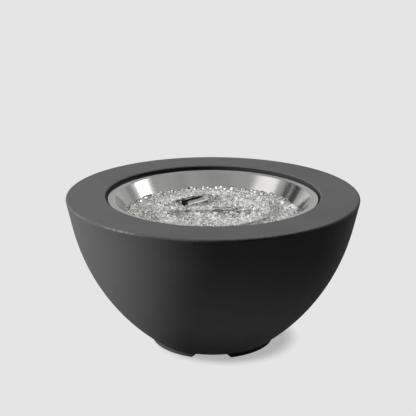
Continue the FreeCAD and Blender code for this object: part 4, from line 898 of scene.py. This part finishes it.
def drop_chips_on_tubes(heap, rng):
    """Drops small lumps over the ring and the crossbar, but for the bar's bare stretch."""
    aside = 0.013
    highest = TUBE_TOP + 0.0125
    for _ in range(CHIP_DROPS):
        radius = rng.uniform(*CHIP_RADIUS)
        angle = rng.uniform(0, 2 * math.pi)
        out = RING_RADIUS + rng.uniform(-aside, aside)
        x, y = out * math.cos(angle), out * math.sin(angle)
        if rng.random() < CHIPS_ON_BAR:
            x, y = rng.uniform(-RING_RADIUS, RING_RADIUS), rng.uniform(-aside, aside)
        z = heap.rest_height(x, y, radius)
        hides_bar = bar_shows(x) and abs(y) < 0.006
        if z + radius < highest and not hides_bar and not in_hood(x, y, radius):
            heap.keep(x, y, z, radius)


def drop_chips_on_hood(heap, rng):
    """Leaves a few small lumps on the far end of the hood's top, clear of each other."""
    for _ in range(HOOD_DROPS):
        radius = rng.uniform(*HOOD_CHIP_RADIUS)
        on_hood = Vector((rng.uniform(HOOD_COVERED_FROM, HOOD_HALF_LENGTH), rng.uniform(-0.012, 0.010), 0))
        x, y, _ = HOOD_SPOT @ on_hood
        clear = all((x - ox) ** 2 + (y - oy) ** 2 > (0.8 * (radius + other)) ** 2
                    for ox, oy, _, other in heap.lumps[-12:])
        if clear:
            heap.keep(x, y, HOOD_TOP + 0.72 * radius, radius)


def crust_section(middle):
    """The fine glass that lies over and beside a burner tube, in section, about a middle line."""
    near = TUBE_HALF + 0.0004
    top = (TUBE_HALF + 0.0016, TUBE_TOP + CRUST)
    foot = (TUBE_HALF + 0.0036, CRUST_FOOT)
    half = [top, foot, (near, CRUST_FOOT), (near, TUBE_TOP + 0.0003)]
    right = [(middle + x, z) for x, z in half]
    left = [(middle - x, z) for x, z in reversed(half)]
    return left + right


def crust_on_bar(name, start, end, fine):
    """Fine glass over a stretch of the crossbar."""
    bm = bmesh.new()
    section = bm.faces.new([bm.verts.new((start, y, z)) for y, z in crust_section(0.0)])
    drawn = bmesh.ops.extrude_face_region(bm, geom=[section])
    moved = [v for v in drawn["geom"] if isinstance(v, bmesh.types.BMVert)]
    bmesh.ops.translate(bm, verts=moved, vec=(end - start, 0, 0))
    bmesh.ops.recalc_face_normals(bm, faces=bm.faces)
    piece(name, bm, fine, "burner", 60)


def make_glass_bed(packed, fine):
    """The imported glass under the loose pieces, and the fine glass over the burner's tubes."""
    bottom = PAN_FLOOR + 0.002
    edge_z = GLASS_EDGE_Z - EDGE_DEPTH
    outline = [(0.0, bottom), (0.200, bottom), (pan_wall(edge_z) - 0.002, edge_z)]
    outline.append((0.18, glass_level(0.18) - EDGE_DEPTH))
    for radius in (0.15, GLASS_FLAT_RADIUS, 0.0):
        outline.append((radius, glass_level(radius) - BED_DEPTH))
    core = piece("packed_glass", turned_form(outline, 96), packed, "burner", 60)
    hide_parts("glass_bed")
    on_ring = turned_form(crust_section(RING_RADIUS), 96)
    piece("fine_glass_on_ring", on_ring, fine, "burner", 60)
    bar_end = RING_RADIUS - TUBE_HALF - 0.0045
    crust_on_bar("fine_glass_on_bar_left", -bar_end, BAR_SHOWS_FROM, fine)
    crust_on_bar("fine_glass_on_bar_right", BAR_SHOWS_TO, bar_end, fine)


def laid_lump(rng, shapes, spot, radius):
    """One of the shapes, turned and sized by chance, where it rests."""
    lump = rng.choice(shapes).copy()
    turn = Matrix.Rotation(rng.uniform(0, 6.28), 4, "X") @ Matrix.Rotation(rng.uniform(0, 6.28), 4, "Z")
    size = Matrix.Diagonal((
        radius * rng.uniform(0.95, 1.2),
        radius * rng.uniform(0.9, 1.08),
        radius * rng.uniform(0.72, 0.95),
        1,
    ))
    lump.transform(Matrix.Translation(spot) @ turn @ size)
    return lump


def make_loose_glass(clear):
    """The loose lumps, in one piece inside the ring and one outside it."""
    rng = random.Random(29)
    shapes = [tumbled_shape(rng, flats) for flats in (1, 2, 3) * 6]
    heap = GlassHeap()
    drop_gems(heap, rng)
    drop_chips_on_tubes(heap, rng)
    drop_chips_on_hood(heap, rng)
    for name, inner, outer in (
        ("glass_inside_ring", 0.0, RING_RADIUS),
        ("glass_outside_ring", RING_RADIUS, 1.0),
    ):
        bm = bmesh.new()
        for x, y, z, radius in heap.lumps:
            if inner <= math.hypot(x, y) < outer:
                lump = laid_lump(rng, shapes, (x, y, z), radius)
                bm.from_mesh(lump)
                bpy.data.meshes.remove(lump)
        loose = piece(name, bm, clear, "burner")
        hide_from(loose, "shadow")
        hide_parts("glass_gems")
    for shape in shapes:
        bpy.data.meshes.remove(shape)


# The hose and the three leads

HOSE = [(0.084, 0.28760, 0.28704), (0.118, 0.28760, 0.28704), (0.160, 0.258, 0.262), (0.186, 0.196, 0.214),
        (0.178, 0.122, 0.168), (0.132, 0.058, 0.136), (0.066, 0.016, 0.112), (0.012, -0.004, 0.122),
        (0.0, 0.0, 0.190), (0.0, 0.0, 0.214)]
IGNITER_LEAD = [(-0.026, 0.25851, 0.29621), (-0.026, 0.24516, 0.30042), (-0.034, 0.196, 0.268),
                (-0.058, 0.128, 0.246), (-0.05363, 0.05266, 0.265), (-0.05363, 0.05266, 0.287)]
GROUND_LEAD = [(-0.038, 0.25851, 0.29621), (-0.038, 0.24516, 0.30042), (-0.052, 0.200, 0.262),
               (-0.070, 0.146, 0.252), (-0.06306, 0.0797, 0.2825), (-0.06306, 0.0797, 0.3045)]
SENSOR_LEAD = [(0.032, 0.25517, 0.29727), (0.032, 0.24182, 0.30148), (0.030, 0.196, 0.262),
               (0.002, 0.140, 0.244), (-0.03637, 0.06934, 0.265), (-0.03637, 0.06934, 0.287)]


def make_run(name, route, radius, material):
    """A hose or lead from the bowl to the burner, on one smooth line."""
    data = bpy.data.curves.new(name, "CURVE")
    data.dimensions = "3D"
    spline = data.splines.new("NURBS")
    spline.points.add(len(route) - 1)
    for point, place in zip(spline.points, route):
        point.co = (*place, 1)
    spline.order_u = 3
    spline.use_endpoint_u = True
    data.resolution_u = 14
    curve = put_in_scene(name + "_line", data)
    line = applied_mesh(curve)
    data.bevel_depth = radius
    data.bevel_resolution = 4
    data.use_fill_caps = True
    tube = applied_mesh(curve)
    bpy.data.objects.remove(curve)
    bpy.data.meshes.remove(line)
    tube.materials.clear()
    tube.materials.append(material)
    tube.shade_smooth()
    run = put_in_scene(name + "_run", tube)
    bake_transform(run)
    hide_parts(name)


def make_runs(by_slot):
    """The hose and the leads under the pan."""
    for name, route, radius, slot, stiffness in (
        ("flex_hose", HOSE, 0.006, "hose_braid", "stiff"),
        ("igniter_lead", IGNITER_LEAD, 0.0015, "lead_rubber", "medium"),
        ("ground_lead", GROUND_LEAD, 0.0015, "lead_rubber", "medium"),
        ("sensor_lead", SENSOR_LEAD, 0.0012, "copper", "medium"),
    ):
        make_run(name, route, radius, by_slot[slot])


# The springs

def make_spring(name, material, body, spot, low, high, radius, wire, turns, joint=None):
    """A coil of round wire on the controls' slanted axis, from one seat to the other."""
    steps = 20 * turns
    bm = bmesh.new()
    start = Matrix.Translation((radius, 0, wire / 2)) @ Matrix.Rotation(math.pi / 2, 4, "X")
    bmesh.ops.create_circle(bm, cap_ends=False, segments=10, radius=wire / 2, matrix=start)
    bmesh.ops.spin(bm, geom=bm.verts[:] + bm.edges[:], cent=(0, 0, 0), axis=(0, 0, 1),
                   dvec=(0, 0, (high - low - wire) / steps), angle=2 * math.pi * turns, steps=steps,
                   use_merge=False, use_duplicate=False)
    bmesh.ops.holes_fill(bm, edges=bm.edges, sides=0)
    bmesh.ops.recalc_face_normals(bm, faces=bm.faces)
    seat = spot + CONTROL_AXIS * low
    turn = CONTROL_AXIS.to_track_quat("Z", "Y").to_matrix().to_4x4()
    bmesh.ops.transform(bm, matrix=Matrix.Translation(seat) @ turn, verts=bm.verts)
    coil = piece(name + "_coil", bm, material, body, 50)
    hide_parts(name)
    if joint:
        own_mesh(coil)


def make_springs(steel):
    """The valve's return spring, the button's, and the one under the cell."""
    make_spring("valve_spring", steel, "bowl", VALVE_SPOT, low=0.0210, high=0.0375,
                radius=0.0051, wire=0.0008, turns=4, joint="stem_push")
    make_spring("button_spring", steel, "cap", IGNITER_SPOT, low=-0.0092, high=-0.0012,
                radius=0.0047, wire=0.0007, turns=3, joint="button_press")
    make_spring("battery_spring", steel, "bowl", IGNITER_SPOT, low=-0.0725, high=-0.0649,
                radius=0.00515, wire=0.0007, turns=2)


# The whole

def main():
    """The camera and the studio, the finishes, and then the pieces one by one."""
    place_camera()
    light_the_bowl()
    lay_the_floor()
    set_up_reflectors()
    set_the_world()
    by_slot = finishes_by_slot()
    dress_cad_nodes(by_slot)
    make_runs(by_slot)
    make_springs(by_slot["stainless"])
    make_pan(spun_steel())
    make_glass_bed(
        packed_glass("packed_glass", (0.45, 0.45, 0.42), (0.90, 0.90, 0.855)),
        # The darker copy, for the fine glass on the tubes, is painted shade, standing in for the shadow of
        # the loose lumps above, which cast none.
        packed_glass("fine_glass", (0.34, 0.34, 0.325), (0.68, 0.68, 0.65)),
    )
    make_loose_glass(by_slot["clear_glass"])


main()
